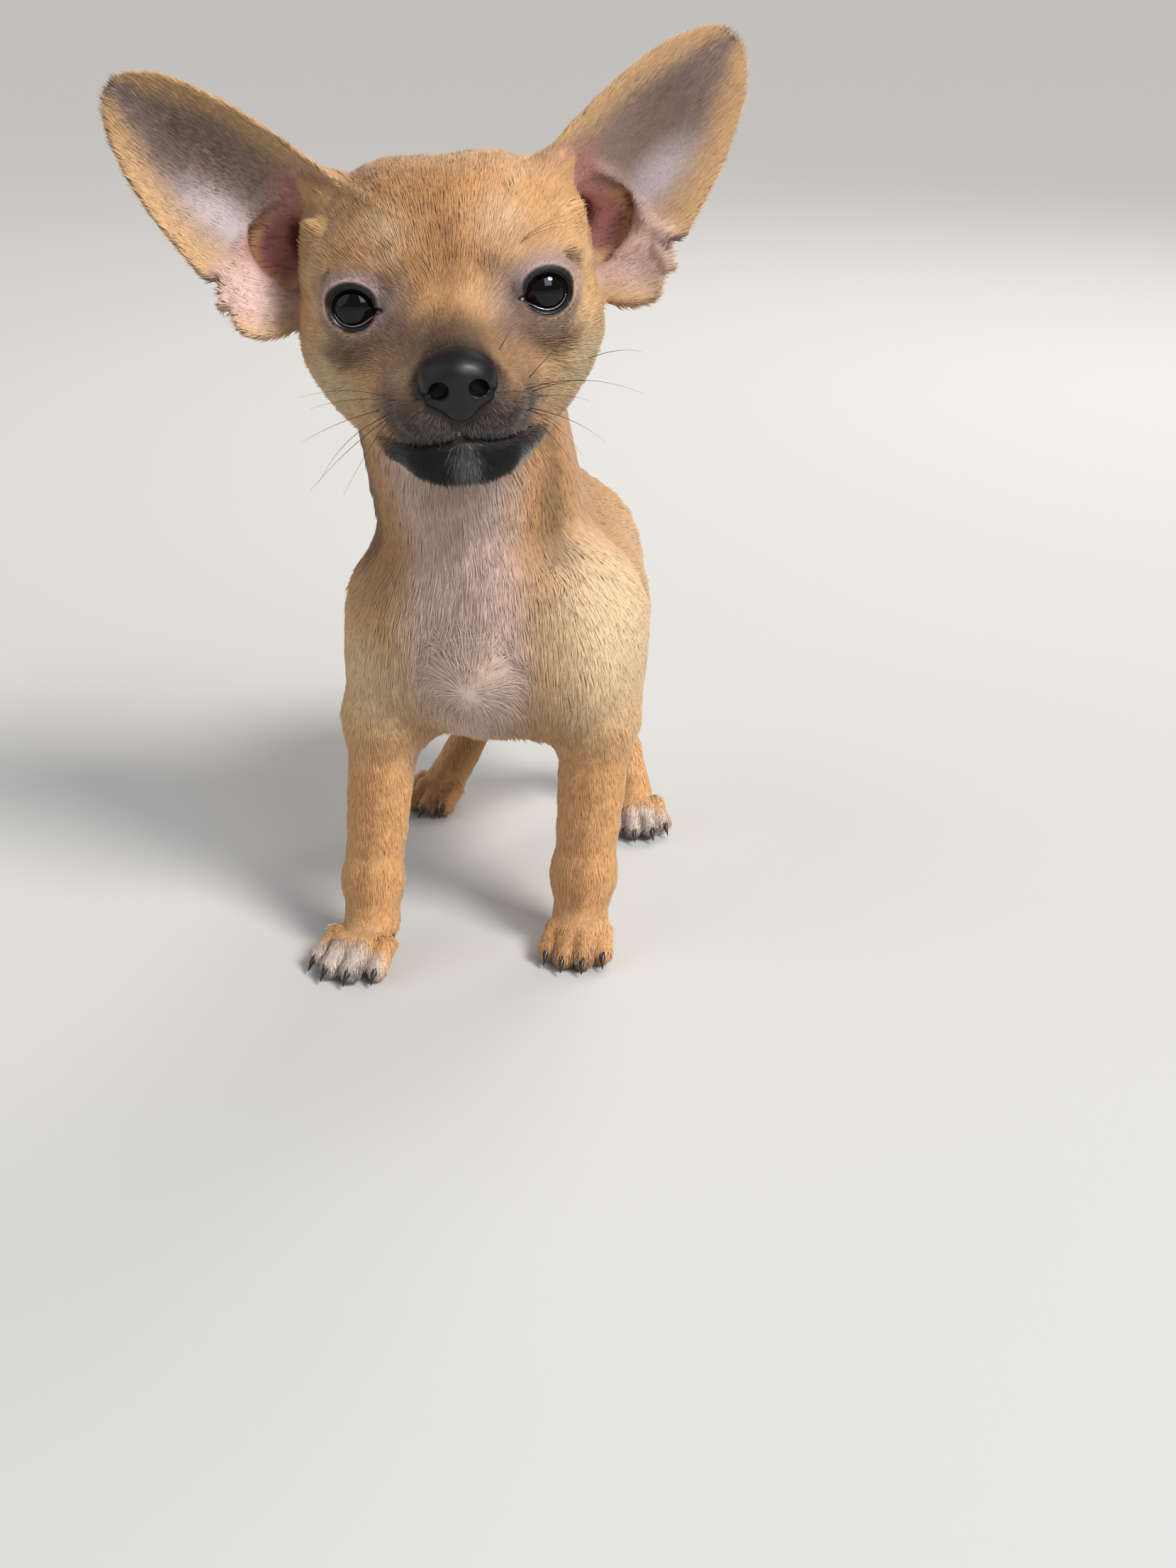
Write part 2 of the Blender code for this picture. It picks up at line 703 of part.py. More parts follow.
def build_eye(side, name):
    mesh = bpy.data.meshes.new(name)
    ball = bmesh.new()
    bmesh.ops.create_uvsphere(ball, u_segments=20, v_segments=12, radius=EYE_RADIUS * MM)
    bmesh.ops.translate(ball, verts=ball.verts, vec=eye_centre(side) * MM)
    ball.to_mesh(mesh)
    ball.free()
    mesh.shade_smooth()
    shape = bpy.data.objects.new(name, mesh)
    bpy.context.scene.collection.objects.link(shape)
    mesh.materials.append(material("eye"))


def centre_on_floor():
    """Moves the whole animal so that the origin is under the middle of its box."""
    meshes = [thing.data for thing in bpy.data.objects]
    places = np.array([vertex.co for mesh in meshes for vertex in mesh.vertices])
    middle = (places.min(axis=0) + places.max(axis=0)) / 2
    for mesh in meshes:
        for vertex in mesh.vertices:
            vertex.co.x -= middle[0]
            vertex.co.y -= middle[1]


def main():
    for thing in list(bpy.data.objects):
        bpy.data.objects.remove(thing, do_unlink=True)
    clay = whole_body(STEP)
    head_part = build_flesh(clay)
    build_head(clay, head_part)
    build_nose()
    for side, word in ((-1, "right"), (1, "left")):
        build_ear(clay, side, "ear_" + word)
        build_eye(side, "eye_" + word)
    centre_on_floor()


main()
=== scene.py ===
"""The looks of a smooth-coated chihuahua puppy: one skin, its short coat in fine tufts, eyes,
lids, nose leather, claws and whiskers.

Sizes are in millimetres in the puppy's own frame, as in its solids: +X is its left, -Y is
ahead and +Z is up. SHIFT moves that frame onto the model's, and MM turns it into metres.
"""
import math

import bpy
import numpy as np
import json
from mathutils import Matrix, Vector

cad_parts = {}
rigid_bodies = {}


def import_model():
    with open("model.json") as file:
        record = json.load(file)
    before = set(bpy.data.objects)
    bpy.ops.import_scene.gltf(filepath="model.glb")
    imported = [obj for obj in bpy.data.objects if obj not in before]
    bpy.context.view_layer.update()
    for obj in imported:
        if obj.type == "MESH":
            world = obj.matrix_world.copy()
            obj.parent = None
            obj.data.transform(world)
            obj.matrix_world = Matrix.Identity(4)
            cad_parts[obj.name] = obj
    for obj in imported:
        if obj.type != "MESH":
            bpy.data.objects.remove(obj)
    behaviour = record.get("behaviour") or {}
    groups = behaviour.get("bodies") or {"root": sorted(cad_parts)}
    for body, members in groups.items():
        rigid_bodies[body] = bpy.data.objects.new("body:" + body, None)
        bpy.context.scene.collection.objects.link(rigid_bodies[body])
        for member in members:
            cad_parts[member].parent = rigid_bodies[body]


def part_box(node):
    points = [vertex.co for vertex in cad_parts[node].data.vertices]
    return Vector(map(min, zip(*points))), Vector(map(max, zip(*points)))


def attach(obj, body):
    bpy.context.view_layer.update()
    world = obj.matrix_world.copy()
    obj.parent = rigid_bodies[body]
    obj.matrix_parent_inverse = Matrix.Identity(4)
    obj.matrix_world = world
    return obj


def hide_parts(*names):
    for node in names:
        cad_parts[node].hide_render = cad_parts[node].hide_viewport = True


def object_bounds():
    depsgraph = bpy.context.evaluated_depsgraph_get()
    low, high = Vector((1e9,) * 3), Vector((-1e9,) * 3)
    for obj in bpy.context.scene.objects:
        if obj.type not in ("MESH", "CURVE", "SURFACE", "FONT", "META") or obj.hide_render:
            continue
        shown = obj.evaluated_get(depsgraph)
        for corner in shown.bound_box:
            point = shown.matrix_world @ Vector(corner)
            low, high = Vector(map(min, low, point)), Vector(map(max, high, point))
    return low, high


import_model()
cad_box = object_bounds()

# Driving sizes, the same as in the solids
MM = 0.001
FAR = 40.0
STEP = 0.8
EYE_SPACING = 39.6
EYE_RADIUS = 6.5
EYE_SOCKET = 6.75
LID_RADIUS = 8.0
EYE_OPENING = (4.95, 4.5)
EYE_TURN_OUT = 12.0
NOSE_WIDTH = 15.4
MOUTH_MIDDLE = -26.4
MOUTH_HALF_WIDTH = 16.6
MOUTH_GROOVE = 0.8
EAR_LENGTH = 60.0
EAR_OUTER_HALF = 22.3
EAR_INNER_HALF = 14.8
EAR_THICKNESS = 2.3
TAIL_RADIUS = 5.2
HEAD_PLACE = np.array((-0.8, -73.0, 166.6))
HEAD_YAW = 16.0
HEAD_NOSE_UP = 2.0
HEAD_ROLL = 4.2

# How deep the skin lies under the tips of the coat
BODY_COAT = 0.9
HEAD_COAT = 0.45
EAR_COAT = 0.2

# The camera's place and aim, in the puppy's frame
CAMERA_PLACE = np.array((132.7, -559.7, 259.0))
CAMERA_TURN = 12.0
CAMERA_PITCH = 22.0
LENS = 54.07

SIDES = ((-1, "right"), (1, "left"))

# Fineness of the skin and coat. A tuft's root is darker than its markings, for its darker undercolour
# and as painted shade deep in the coat, and its tip is paler
SKIN_TRIANGLES = 165000
COAT_FULLNESS = 1.0
MOST_TUFTS = 48000
PATCH = 0.003
ROOT_DEPTH = 0.15
RIDGE_SHARE = 0.45
ROOT_SHADE_TONE = 0.74
TIP_TONE = 1.2
# Skin under the coat is darkened by this share, for the darker undercoat and as painted shade between
# the tufts; bare skin is not
UNDER_COAT_SHADE_TONE = 0.62

# Places in the puppy's frame: on the back, the middle of the chest's whorl, and down the bib
BACK_PLACE = np.array((-3, 0, 115))
WHORL_PLACE = (-1.2, -64, 76)
BIB_LINE = ((-6, -64, 140), (-2, -68, 62))


def turn(axis, degrees):
    """Rotation matrix about X, Y or Z."""
    c = math.cos(math.radians(degrees))
    s = math.sin(math.radians(degrees))
    if axis == "X":
        return np.array(((1, 0, 0), (0, c, -s), (0, s, c)))
    if axis == "Y":
        return np.array(((c, 0, s), (0, 1, 0), (-s, 0, c)))
    return np.array(((c, -s, 0), (s, c, 0), (0, 0, 1)))


HEAD_TURN = turn("Z", HEAD_YAW) @ turn("X", -HEAD_NOSE_UP) @ turn("Y", -HEAD_ROLL)


def on_head(x, y, z):
    """A place given from the middle of the eyes, in the head's own axes."""
    return HEAD_PLACE + HEAD_TURN @ np.array((x, y, z), float)


def to_head(points):
    """Places in the head's own axes, from the middle of the eyes."""
    return (points - HEAD_PLACE) @ HEAD_TURN


def both_sides(local):
    """The right half's places mirrored onto the left half."""
    return np.stack((np.abs(local[:, 0]), local[:, 1], local[:, 2]), axis=1)


def eye_centre(side):
    return on_head(side * EYE_SPACING / 2, 6.0, 0.0)


def eye_axes(side):
    """Columns: across, back into the head, and up, for the way an eye looks."""
    return HEAD_TURN @ turn("Z", side * EYE_TURN_OUT)


def round_eye(points, side):
    """Places as an eye sees them, and how far off its middle line each is."""
    seen = (points - eye_centre(side)) @ eye_axes(side)
    return seen, np.hypot(seen[:, 0] / 1.1, seen[:, 2])


eye_low, eye_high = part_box("eye_left")
SHIFT = (np.array(eye_low) + np.array(eye_high)) / 2 / MM - eye_centre(1)


# Small helpers

def unit(vectors):
    return vectors / np.maximum(np.linalg.norm(vectors, axis=-1, keepdims=True), 1e-9)


def ease(low, high, value):
    """0 below low, 1 above high, and smooth between."""
    share = np.clip((value - low) / (high - low), 0.0, 1.0)
    return share * share * (3 - 2 * share)


def drop_to_model(points):
    """Millimetres in the puppy's frame to metres in the model's."""
    return (np.asarray(points) + SHIFT) * MM


def new_piece(name, points, faces):
    """A mesh object at the origin from places in millimetres."""
    mesh = bpy.data.meshes.new(name)
    mesh.from_pydata(drop_to_model(points).tolist(), [], [list(map(int, face)) for face in faces])
    mesh.update()
    piece = bpy.data.objects.new(name, mesh)
    bpy.context.scene.collection.objects.link(piece)
    return piece


def only_this(piece):
    bpy.ops.object.select_all(action="DESELECT")
    piece.select_set(True)
    bpy.context.view_layer.objects.active = piece


def in_edit_mode(piece, *steps):
    """Runs a few editing steps on one piece."""
    only_this(piece)
    bpy.ops.object.mode_set(mode="EDIT")
    for step in steps:
        step()
    bpy.ops.object.mode_set(mode="OBJECT")


def choose(action):
    return lambda: bpy.ops.mesh.select_all(action=action)


def choose_vertices(piece, chosen):
    """Leaves only these vertices chosen."""
    in_edit_mode(piece, lambda: bpy.ops.mesh.select_mode(type="VERT"), choose("DESELECT"))
    piece.data.vertices.foreach_set("select", chosen)


# Forms: each is a distance function with the corners of its box

def ellipsoid(centre, radii, turned=None):
    centre = np.asarray(centre, float)
    radii = np.asarray(radii, float)
    axes = np.eye(3) if turned is None else turned

    def distance(points):
        local = (points - centre) @ axes
        scaled = np.linalg.norm(local / radii, axis=-1)
        slope = np.linalg.norm(local / radii ** 2, axis=-1)
        return scaled * (scaled - 1.0) / np.maximum(slope, 1e-6)

    reach = np.sqrt(((axes * radii) ** 2).sum(axis=1))
    return distance, centre - reach, centre + reach


def limb(start, end, start_radius, end_radius):
    """A length of flesh, round at both ends."""
    start = np.asarray(start, float)
    end = np.asarray(end, float)
    along = end - start
    length2 = float(along @ along)

    def distance(points):
        local = points - start
        share = np.clip(local @ along / length2, 0.0, 1.0)
        gap = np.linalg.norm(local - share[..., None] * along, axis=-1)
        return gap - (start_radius + (end_radius - start_radius) * share)

    reach = max(start_radius, end_radius)
    return distance, np.minimum(start, end) - reach, np.maximum(start, end) + reach


def path(points, radius):
    """A soft groove or ridge of one radius along a few points."""
    parts = [limb(a, b, radius, radius) for a, b in zip(points[:-1], points[1:])]

    def distance(where):
        result = parts[0][0](where)
        for part in parts[1:]:
            result = np.minimum(result, part[0](where))
        return result

    low = np.min([part[1] for part in parts], axis=0)
    high = np.max([part[2] for part in parts], axis=0)
    return distance, low, high


def smooth_least(a, b, blend):
    if blend <= 0:
        return np.minimum(a, b)
    share = np.maximum(blend - np.abs(a - b), 0.0) / blend
    return np.minimum(a, b) - share * share * blend * 0.25


class Clay:
    """Forms blended in order. It gives the distance to the surface at any places."""

    def __init__(self):
        self.steps = []

    def add(self, form, blend=0.0):
        self.steps.append(("add", form, blend))

    def carve(self, form, blend=0.0):
        self.steps.append(("carve", form, blend))

    def thin(self, depth):
        self.steps.append(("thin", depth, 0.0))

    def join(self, other, blend):
        self.steps.append(("join", other, blend))

    def stand(self):
        """Cuts off all that is under the floor."""
        self.steps.append(("stand", None, 0.0))

    def read(self, points):
        value = np.full(len(points), FAR)
        for kind, form, blend in self.steps:
            if kind == "thin":
                value += form
            elif kind == "join":
                value = smooth_least(value, form.read(points), blend)
            elif kind == "stand":
                value = np.maximum(value, -points[:, 2])
            else:
                distance, low, high = form
                margin = 2 * blend + 5
                near = np.all((points > low - margin) & (points < high + margin), axis=1)
                there = distance(points[near])
                if kind == "add":
                    value[near] = smooth_least(value[near], there, blend)
                else:
                    value[near] = -smooth_least(-value[near], there, blend)
        return value

    def slope(self, points, reach=0.15):
        """The way straight out of the surface, and how steeply the distance grows there."""
        total = np.zeros_like(points)
        for corner in ((1, 1, 1), (1, -1, -1), (-1, 1, -1), (-1, -1, 1)):
            corner = np.array(corner, float)
            total += self.read(points + corner * reach)[:, None] * corner
        return total / (4 * reach)

    def first_touch(self, start, direction, reach):
        """Where a line from outside first meets the surface."""
        line = start + direction * np.arange(0.0, reach, 0.2)[:, None]
        inside = np.flatnonzero(self.read(line) < 0)
        return line[inside[0]] if len(inside) else line[-1]


# The head

def head_mass(clay, centre, radii, blend):
    clay.add(ellipsoid(on_head(*centre), radii, HEAD_TURN), blend)


def head_limb(clay, start, end, start_radius, end_radius, blend):
    clay.add(limb(on_head(*start), on_head(*end), start_radius, end_radius), blend)


def shape_skull(clay):
    for side in (-1, 1):
        head_mass(clay, (side * 9.5, 27, 3.5), (21.5, 27, 24.5), 8)
        head_mass(clay, (side * 18, 20, -10), (15.5, 18, 15), 8)
        head_mass(clay, (side * 13, 19, -21), (13, 16, 12), 7)
        head_mass(clay, (side * 17.5, 8.5, 6.5), (11.5, 9.5, 8.5), 6)
        head_mass(clay, (side * 14, 6, -10), (11, 7.5, 10), 6)
        head_mass(clay, (side * 24, 32, 6), (8, 11, 17), 6)
    head_mass(clay, (0, 14, 8), (19, 14, 16), 8)


def shape_muzzle(clay):
    head_limb(clay, (0, 8, -9), (0, -10.0, -13.6), 13, 9.0, 7)
    for side in (-1, 1):
        head_limb(clay, (side * 9.5, 5, -19.0), (side * 6.3, -11.8, -19.8), 10.3, 7.8, 4)
    head_limb(clay, (0, 14, -24), (0, -7.8, -29.7), 13, 8.2, 3)
    for side in (-1, 1):
        head_limb(clay, (side * 9.8, 10, -27), (side * 5.2, -6.2, -30.2), 9.8, 7.4, 3)


def mouth_line(clay, side):
    """The line where the lips meet, from under the nose to the corner of the mouth."""
    points = []
    backward = HEAD_TURN @ np.array((0, 1.0, 0))
    for share in np.linspace(0, 1, 8):
        low = MOUTH_MIDDLE - 1.5 * math.sin(math.pi * share * 0.75)
        start = on_head(side * MOUTH_HALF_WIDTH * share, -34, low)
        points.append(clay.first_touch(start, backward, 40.0))
    return points


def shape_mouth(clay):
    """The upper lips' full edge, the line under it, and the groove below the nose."""
    lines = [mouth_line(clay, side) for side in (-1, 1)]
    up = HEAD_TURN @ np.array((0, 0.15, 1.0))
    for line in lines:
        clay.add(path([place + up * 1.7 for place in line[:-1]], 1.0), 1.8)
    for line in lines:
        clay.carve(path(line, MOUTH_GROOVE), 0.9)
    clay.carve(path([on_head(0, -20.6, -20), lines[0][0]], 0.6), 0.9)


def shape_lids(clay):
    """A ball of flesh round each eye, opened for the eyeball, with a crease above."""
    for side in (-1, 1):
        centre = eye_centre(side)
        axes = eye_axes(side)
        clay.add(ellipsoid(centre, (LID_RADIUS,) * 3), 3)
        crease = []
        for angle in np.linspace(25, 155, 8):
            across = 8.6 * math.cos(math.radians(angle))
            up = 8.2 * math.sin(math.radians(angle))
            back = -math.sqrt(max(LID_RADIUS ** 2 + 16 - across ** 2 - up ** 2, 1.0))
            crease.append(centre + axes @ np.array((across, back, up)))
        clay.carve(path(crease, 0.55), 2.4)
        clay.carve(ellipsoid(centre, (EYE_SOCKET,) * 3))
        opening = (EYE_OPENING[0], 6.0, EYE_OPENING[1])
        clay.carve(ellipsoid(centre + axes @ np.array((0, -EYE_RADIUS, -0.2)), opening, axes), 0.5)
        corner = centre + axes @ np.array((-side * 5.2, -5.0, -0.9))
        clay.carve(ellipsoid(corner, (1.5, 2.2, 0.8), axes), 0.5)


def nose_leather(clay):
    """The nose leather: a rounded pad, wide above and narrow below."""
    clay.add(ellipsoid(on_head(0, -16.6, -12.4), (NOSE_WIDTH / 2, 6.4, 5.0), HEAD_TURN), 0)
    for side in (-1, 1):
        clay.add(ellipsoid(on_head(side * 4.2, -17.0, -14.6), (3.9, 5.4, 5.0), HEAD_TURN), 2)
        low = limb(on_head(side * 4.2, -17.0, -16.4), on_head(side * 0.7, -16.9, -20.0), 3.4, 1.7)
        clay.add(low, 1.6)
    clay.add(limb(on_head(0, -17.6, -13), on_head(0, -17.6, -19.0), 4.6, 3.0), 3)


def shape_nostrils(clay):
    for side in (-1, 1):
        hole = [on_head(side * 3.9, -23.6, -15.3), on_head(side * 4.5, -18.2, -14.9)]
        clay.carve(path(hole, 1.95), 0.7)
        slit = [on_head(side * 5.0, -22.6, -15.7), on_head(side * 8.4, -18.6, -17.2)]
        clay.carve(path(slit, 0.7), 0.8)
    clay.carve(path([on_head(0, -24.4, -13), on_head(0, -20.8, -21.5)], 0.6), 0.7)


# The ears: a cupped leaf whose depth is a height over its own plane

EAR_LOOK = {
    -1: {"reach": 0.985, "root": (25.5, 25.0, 7.5), "lean": 46.5},
    1: {"reach": 0.965, "root": (25.0, 25.0, 7.5), "lean": 46.0},
}


def ear_axes(side):
    """Columns: across towards the outer edge, back, and out along the ear."""
    look = EAR_LOOK[side]
    out = math.radians(look["lean"])
    along = np.array((math.sin(out), 0.06, math.cos(out)))
    along /= np.linalg.norm(along)
    back = np.array((0.10, 1.0, 0.0))
    back -= along * (back @ along)
    back /= np.linalg.norm(back)
    across = np.cross(back, along)
    axes = np.stack((across, back, along), axis=1)
    axes[0] *= side
    return HEAD_TURN @ axes


def ear_root(side):
    x, y, z = EAR_LOOK[side]["root"]
    return on_head(side * x, y, z)


def to_ear(points, side):
    """Places as across, back and along the ear."""
    return (points - ear_root(side)) @ ear_axes(side)


def ear_halves(along, length):
    """How far the ear reaches outwards and inwards at a height along it."""
    share = np.clip(along / length, -0.3, 1.0)
    grown = np.clip(share, 0.0, 1.0)
    tip = np.sqrt(np.maximum(1 - grown ** 3.1, 1e-4))
    lobe = 2.4 * np.exp(-((share - 0.07) / 0.1) ** 2) - 1.4 * np.exp(-((share - 0.27) / 0.035) ** 2)
    outer = EAR_OUTER_HALF * (1 - 0.25 * grown) * tip + lobe
    inner = EAR_INNER_HALF * (1 - 0.05 * grown) * tip
    return grown, outer, inner


def ear_bowl(across, along, length):
    """The depth of the ear's middle sheet over its plane, its slope across, and its outline."""
    grown, outer, inner = ear_halves(along, length)
    half = np.where(across > 0, outer, inner)
    edge = across / np.maximum(half, 0.5)
    cup = 17.0 * (1 - grown) ** 1.2 + 3.0 * (1 - grown ** 2)
    bowl = cup * (1 - np.clip(np.abs(edge), 0, 1.4) ** 2) - 9.5 * (1 - grown) ** 1.3
    slope = 2 * cup * np.abs(edge) / np.maximum(half, 2.0)
    low = np.clip((0.12 - along / length) / 0.27, 0, 1)
    round_lobe = np.where(across > 0, np.sqrt(np.maximum(1 - low ** 2, 0.0)), 1.0)
    return bowl, slope, half * round_lobe, grown


def ear_form(side):
    root = ear_root(side)
    axes = ear_axes(side)
    length = EAR_LENGTH * EAR_LOOK[side]["reach"]

    def distance(points):
        local = (points - root) @ axes
        across, back, along = local[..., 0], local[..., 1], local[..., 2]
        bowl, slope, half, grown = ear_bowl(across, along, length)
        thick = EAR_THICKNESS / 2 + 0.9 * (1 - grown) ** 3
        sheet = np.abs(back - bowl) / np.sqrt(1 + slope ** 2) - thick
        rim = (np.abs(across) - half) * 0.8
        ends = np.maximum(along - length, -along - 8.0)
        return -smooth_least(-sheet, -np.maximum(rim, ends), 1.2)

    corners = [root + axes @ np.array((a, b, c))
               for a in (-18, 27) for b in (-10, 20) for c in (-10, length + 2)]
    return distance, np.min(corners, axis=0), np.max(corners, axis=0)


def on_ear(side, across, along, ahead=0.0):
    """A place on the ear's middle sheet, or a little ahead of it."""
    length = EAR_LENGTH * EAR_LOOK[side]["reach"]
    bowl = float(ear_bowl(np.array(across), np.array(along), length)[0])
    return ear_root(side) + ear_axes(side) @ np.array((across, bowl - ahead, along))


EAR_FOLD = ((-3, 17.5), (3, 18.4), (9, 17.6), (13.4, 15), (14.2, 11.5), (12.4, 7.5), (9.5, 3.5))


def shape_ear_folds(clay, side):
    """The thick root behind the ear, its inner bowl, the fold round it and the pocket at the edge."""
    axes = ear_axes(side)
    clay.add(ellipsoid(on_ear(side, 3.5, 8, -3.6), (12.5, 6.0, 13.5), axes), 4)
    clay.add(ellipsoid(on_ear(side, -11, 5, 0.5), (5, 6, 10), axes), 3)
    head_limb(clay, (side * 26.0, 15.5, 14), (side * 28.0, 15.5, 5), 2.4, 2.0, 3)
    clay.add(path([on_ear(side, a, b, 1.0) for a, b in EAR_FOLD], 0.6), 2.6)
    clay.carve(ellipsoid(on_ear(side, 5.2, 9.2, 1.9), (8.6, 2.4, 8.4), axes), 3.5)
    clay.carve(ellipsoid(on_ear(side, 0.0, 6.0, 0.2), (3.2, 2.6, 3.8), axes), 3.5)
    clay.add(path([on_ear(side, 18.0, 12.5, 1.2), on_ear(side, 21.5, 11.5, 1.0)], 0.9), 1.6)
    clay.carve(path([on_ear(side, 19.0, 15.6, 0.9), on_ear(side, 23.0, 16.6, 0.3)], 0.9), 0.8)


# The body

def shape_trunk(clay):
    clay.add(ellipsoid((-1.5, -11, 77.5), (32.5, 45, 28)), 0)
    clay.add(ellipsoid((-2.5, -4, 92), (17, 44, 21.5)), 8)
    clay.add(ellipsoid((-4.5, 20, 77), (26, 36, 26.5)), 8)
    clay.add(ellipsoid((-7.5, 38, 80), (20.5, 22, 22.5)), 8)
    clay.add(limb((-3, 0, 95), (-7.5, 42, 86), 17, 15), 6)
    clay.add(ellipsoid((-1, -42, 82), (21, 20, 25)), 8)
    clay.add(limb((-10, -42, 148), (-4.5, -30, 101), 23.5, 25), 10)
    clay.add(limb((-8, -32, 132), (-4, -5, 97), 17, 18), 9)


def shape_shoulder(clay, side):
    clay.add(ellipsoid((side * 18 - 1.5, -35, 80), (17.5, 22, 27), turn("X", 12)), 8)


FRONT = {
    -1: {"elbow": (-27.5, -43, 60), "wrist": (-29.3, -52, 20), "ankle": (-29.0, -55, 10),
         "lower": 7.2, "heading": 14.0, "paw": (-29.0, -56.5), "spread": 1.12},
    1: {"elbow": (23.0, -33, 60), "wrist": (20.8, -38, 20), "ankle": (20.2, -39.5, 10),
        "lower": 7.8, "heading": -4.0, "paw": (20.3, -38.5), "spread": 0.92},
}
HIND = {
    -1: {"thigh": (-24.0, 35, 68), "knee": (-27.0, 27, 54), "hock": (-27.0, 54, 28),
         "ankle": (-36.5, 46.5, 9), "heading": 22.0, "paw": (-37.0, 46.0), "spread": 1.0},
    1: {"thigh": (8.0, 36, 68), "knee": (11.5, 29, 54), "hock": (10.0, 54, 27),
        "ankle": (17.0, 44, 9), "heading": -22.0, "paw": (17.5, 42.0), "spread": 1.0},
}
FRONT_PAW_SIZE = 1.0
HIND_PAW_SIZE = 0.92
TOE_SIDES = (-6.6, -2.35, 2.35, 6.6)
TOE_REACH = (12.2, 15.8, 15.8, 12.2)
TOE_GAPS = (-4.6, 0.0, 4.6)


def paw_frame(look):
    """The paw's heel on the floor, its heading and its outward side."""
    angle = math.radians(look["heading"])
    ahead = np.array((-math.sin(angle), -math.cos(angle), 0))
    across = np.array((math.cos(angle), -math.sin(angle), 0))
    heel = np.array((look["paw"][0], look["paw"][1], 0.0))
    return heel, ahead, across


def shape_paw(clay, look, size):
    heel, ahead, across = paw_frame(look)
    up = np.array((0, 0, 1.0))
    clay.add(ellipsoid(heel + ahead * 4.5 * size + up * 5.0, (7.6 * size, 8.2 * size, 6.4)), 3)
    for offset, reach in zip(TOE_SIDES, TOE_REACH):
        side_step = across * offset * look["spread"] * size
        knuckle = heel + ahead * (reach - 7.5) * size + side_step * 0.85 + up * 6.8
        tip = heel + ahead * (reach - 1.4) * size + side_step * 1.08 + up * 3.6
        clay.add(limb(knuckle, tip, 3.7 * size, 3.5 * size), 1.3)


def shape_front_leg(clay, side):
    look = FRONT[side]
    elbow = np.array(look["elbow"], float)
    wrist = np.array(look["wrist"], float)
    shoulder = np.array((side * 20 - 1, elbow[1] + 3.0, 84))
    clay.add(limb(shoulder, elbow, 15, 10.4), 7)
    clay.add(limb(elbow + np.array((0, 4, 0)), elbow + np.array((0, 8, 0)), 5.5, 4.0), 6)
    clay.add(limb(elbow, wrist, 9.6, look["lower"]), 5)
    clay.add(limb(wrist, look["ankle"], look["lower"], 7.4), 4)
    shape_paw(clay, look, FRONT_PAW_SIZE)


def shape_hind_leg(clay, side):
    look = HIND[side]
    hock = np.array(look["hock"], float)
    clay.add(ellipsoid(look["thigh"], (12.5, 20, 27), turn("X", -14)), 7)
    clay.add(limb(look["knee"], hock, 10, 5.2), 5)
    clay.add(limb(hock, hock + np.array((0, 3.5, 2.0)), 4.6, 3.6), 3)
    clay.add(limb(hock, look["ankle"], 5.4, 5.8), 3)
    shape_paw(clay, look, HIND_PAW_SIZE)


TAIL_PATH = ((-8, 52, 90), (-8.5, 66, 84), (-9, 77, 75), (-9, 88, 69), (-8.5, 99, 69), (-8, 108, 74))


def shape_tail(clay):
    count = len(TAIL_PATH) - 1
    for i in range(count):
        radii = [TAIL_RADIUS * (1 - 0.62 * (i + k) / count) for k in (0, 1)]
        clay.add(limb(TAIL_PATH[i], TAIL_PATH[i + 1], *radii), 4 if i == 0 else 2)


def shape_puppy():
    """The whole flesh, from nose to tail, under the depth of its coat."""
    body = Clay()
    shape_trunk(body)
    for side in (-1, 1):
        shape_shoulder(body, side)
        shape_hind_leg(body, side)
        shape_front_leg(body, side)
    shape_tail(body)
    body.thin(BODY_COAT)
    head = Clay()
    shape_skull(head)
    shape_muzzle(head)
    head.thin(HEAD_COAT)
    for side in (-1, 1):
        ear = Clay()
        ear.add(ear_form(side))
        ear.thin(EAR_COAT)
        head.join(ear, 2.5)
        shape_ear_folds(head, side)
    shape_lids(head)
    shape_mouth(head)
    body.join(head, 5.0)
    body.stand()
    return body


# From clay to one closed mesh

GRID_BLOCK = 4
HALF_DIAGONAL = 0.87
BLEND_REACH = 2.5


def read_grid(clay, low, high, step):
    """The clay's values on a grid, worked out only near the surface."""
    block = GRID_BLOCK
    cells = np.ceil((high - low) / (step * block)).astype(int) + 1
    middle = (block - 1) / 2 * step
    axes = [low[i] + middle + step * block * np.arange(cells[i]) for i in range(3)]
    rough = clay.read(np.stack(np.meshgrid(*axes, indexing="ij"), axis=-1).reshape(-1, 3)).reshape(cells)
    value = rough.astype(np.float32)
    for axis in range(3):
        value = np.repeat(value, block, axis)
    near = np.argwhere(np.abs(rough) < block * step * HALF_DIAGONAL + BLEND_REACH)
    offsets = np.stack(np.meshgrid(*[np.arange(block)] * 3, indexing="ij"), axis=-1).reshape(-1, 3)
    fine = (near[:, None, :] * block + offsets[None]).reshape(-1, 3)
    value[tuple(fine.T)] = clay.read(low + step * fine)
    return value


def moved(inside, axes, steps):
    """The slices of a grid shifted by one step along some axes."""
    cut = [slice(None)] * 3
    for axis, move in zip(axes, steps):
        cut[axis] = slice(move, inside.shape[axis] - 1 + move)
    return tuple(cut)


DIAGONALS = (((0, 0), (1, 1)), ((1, 0), (0, 1)))


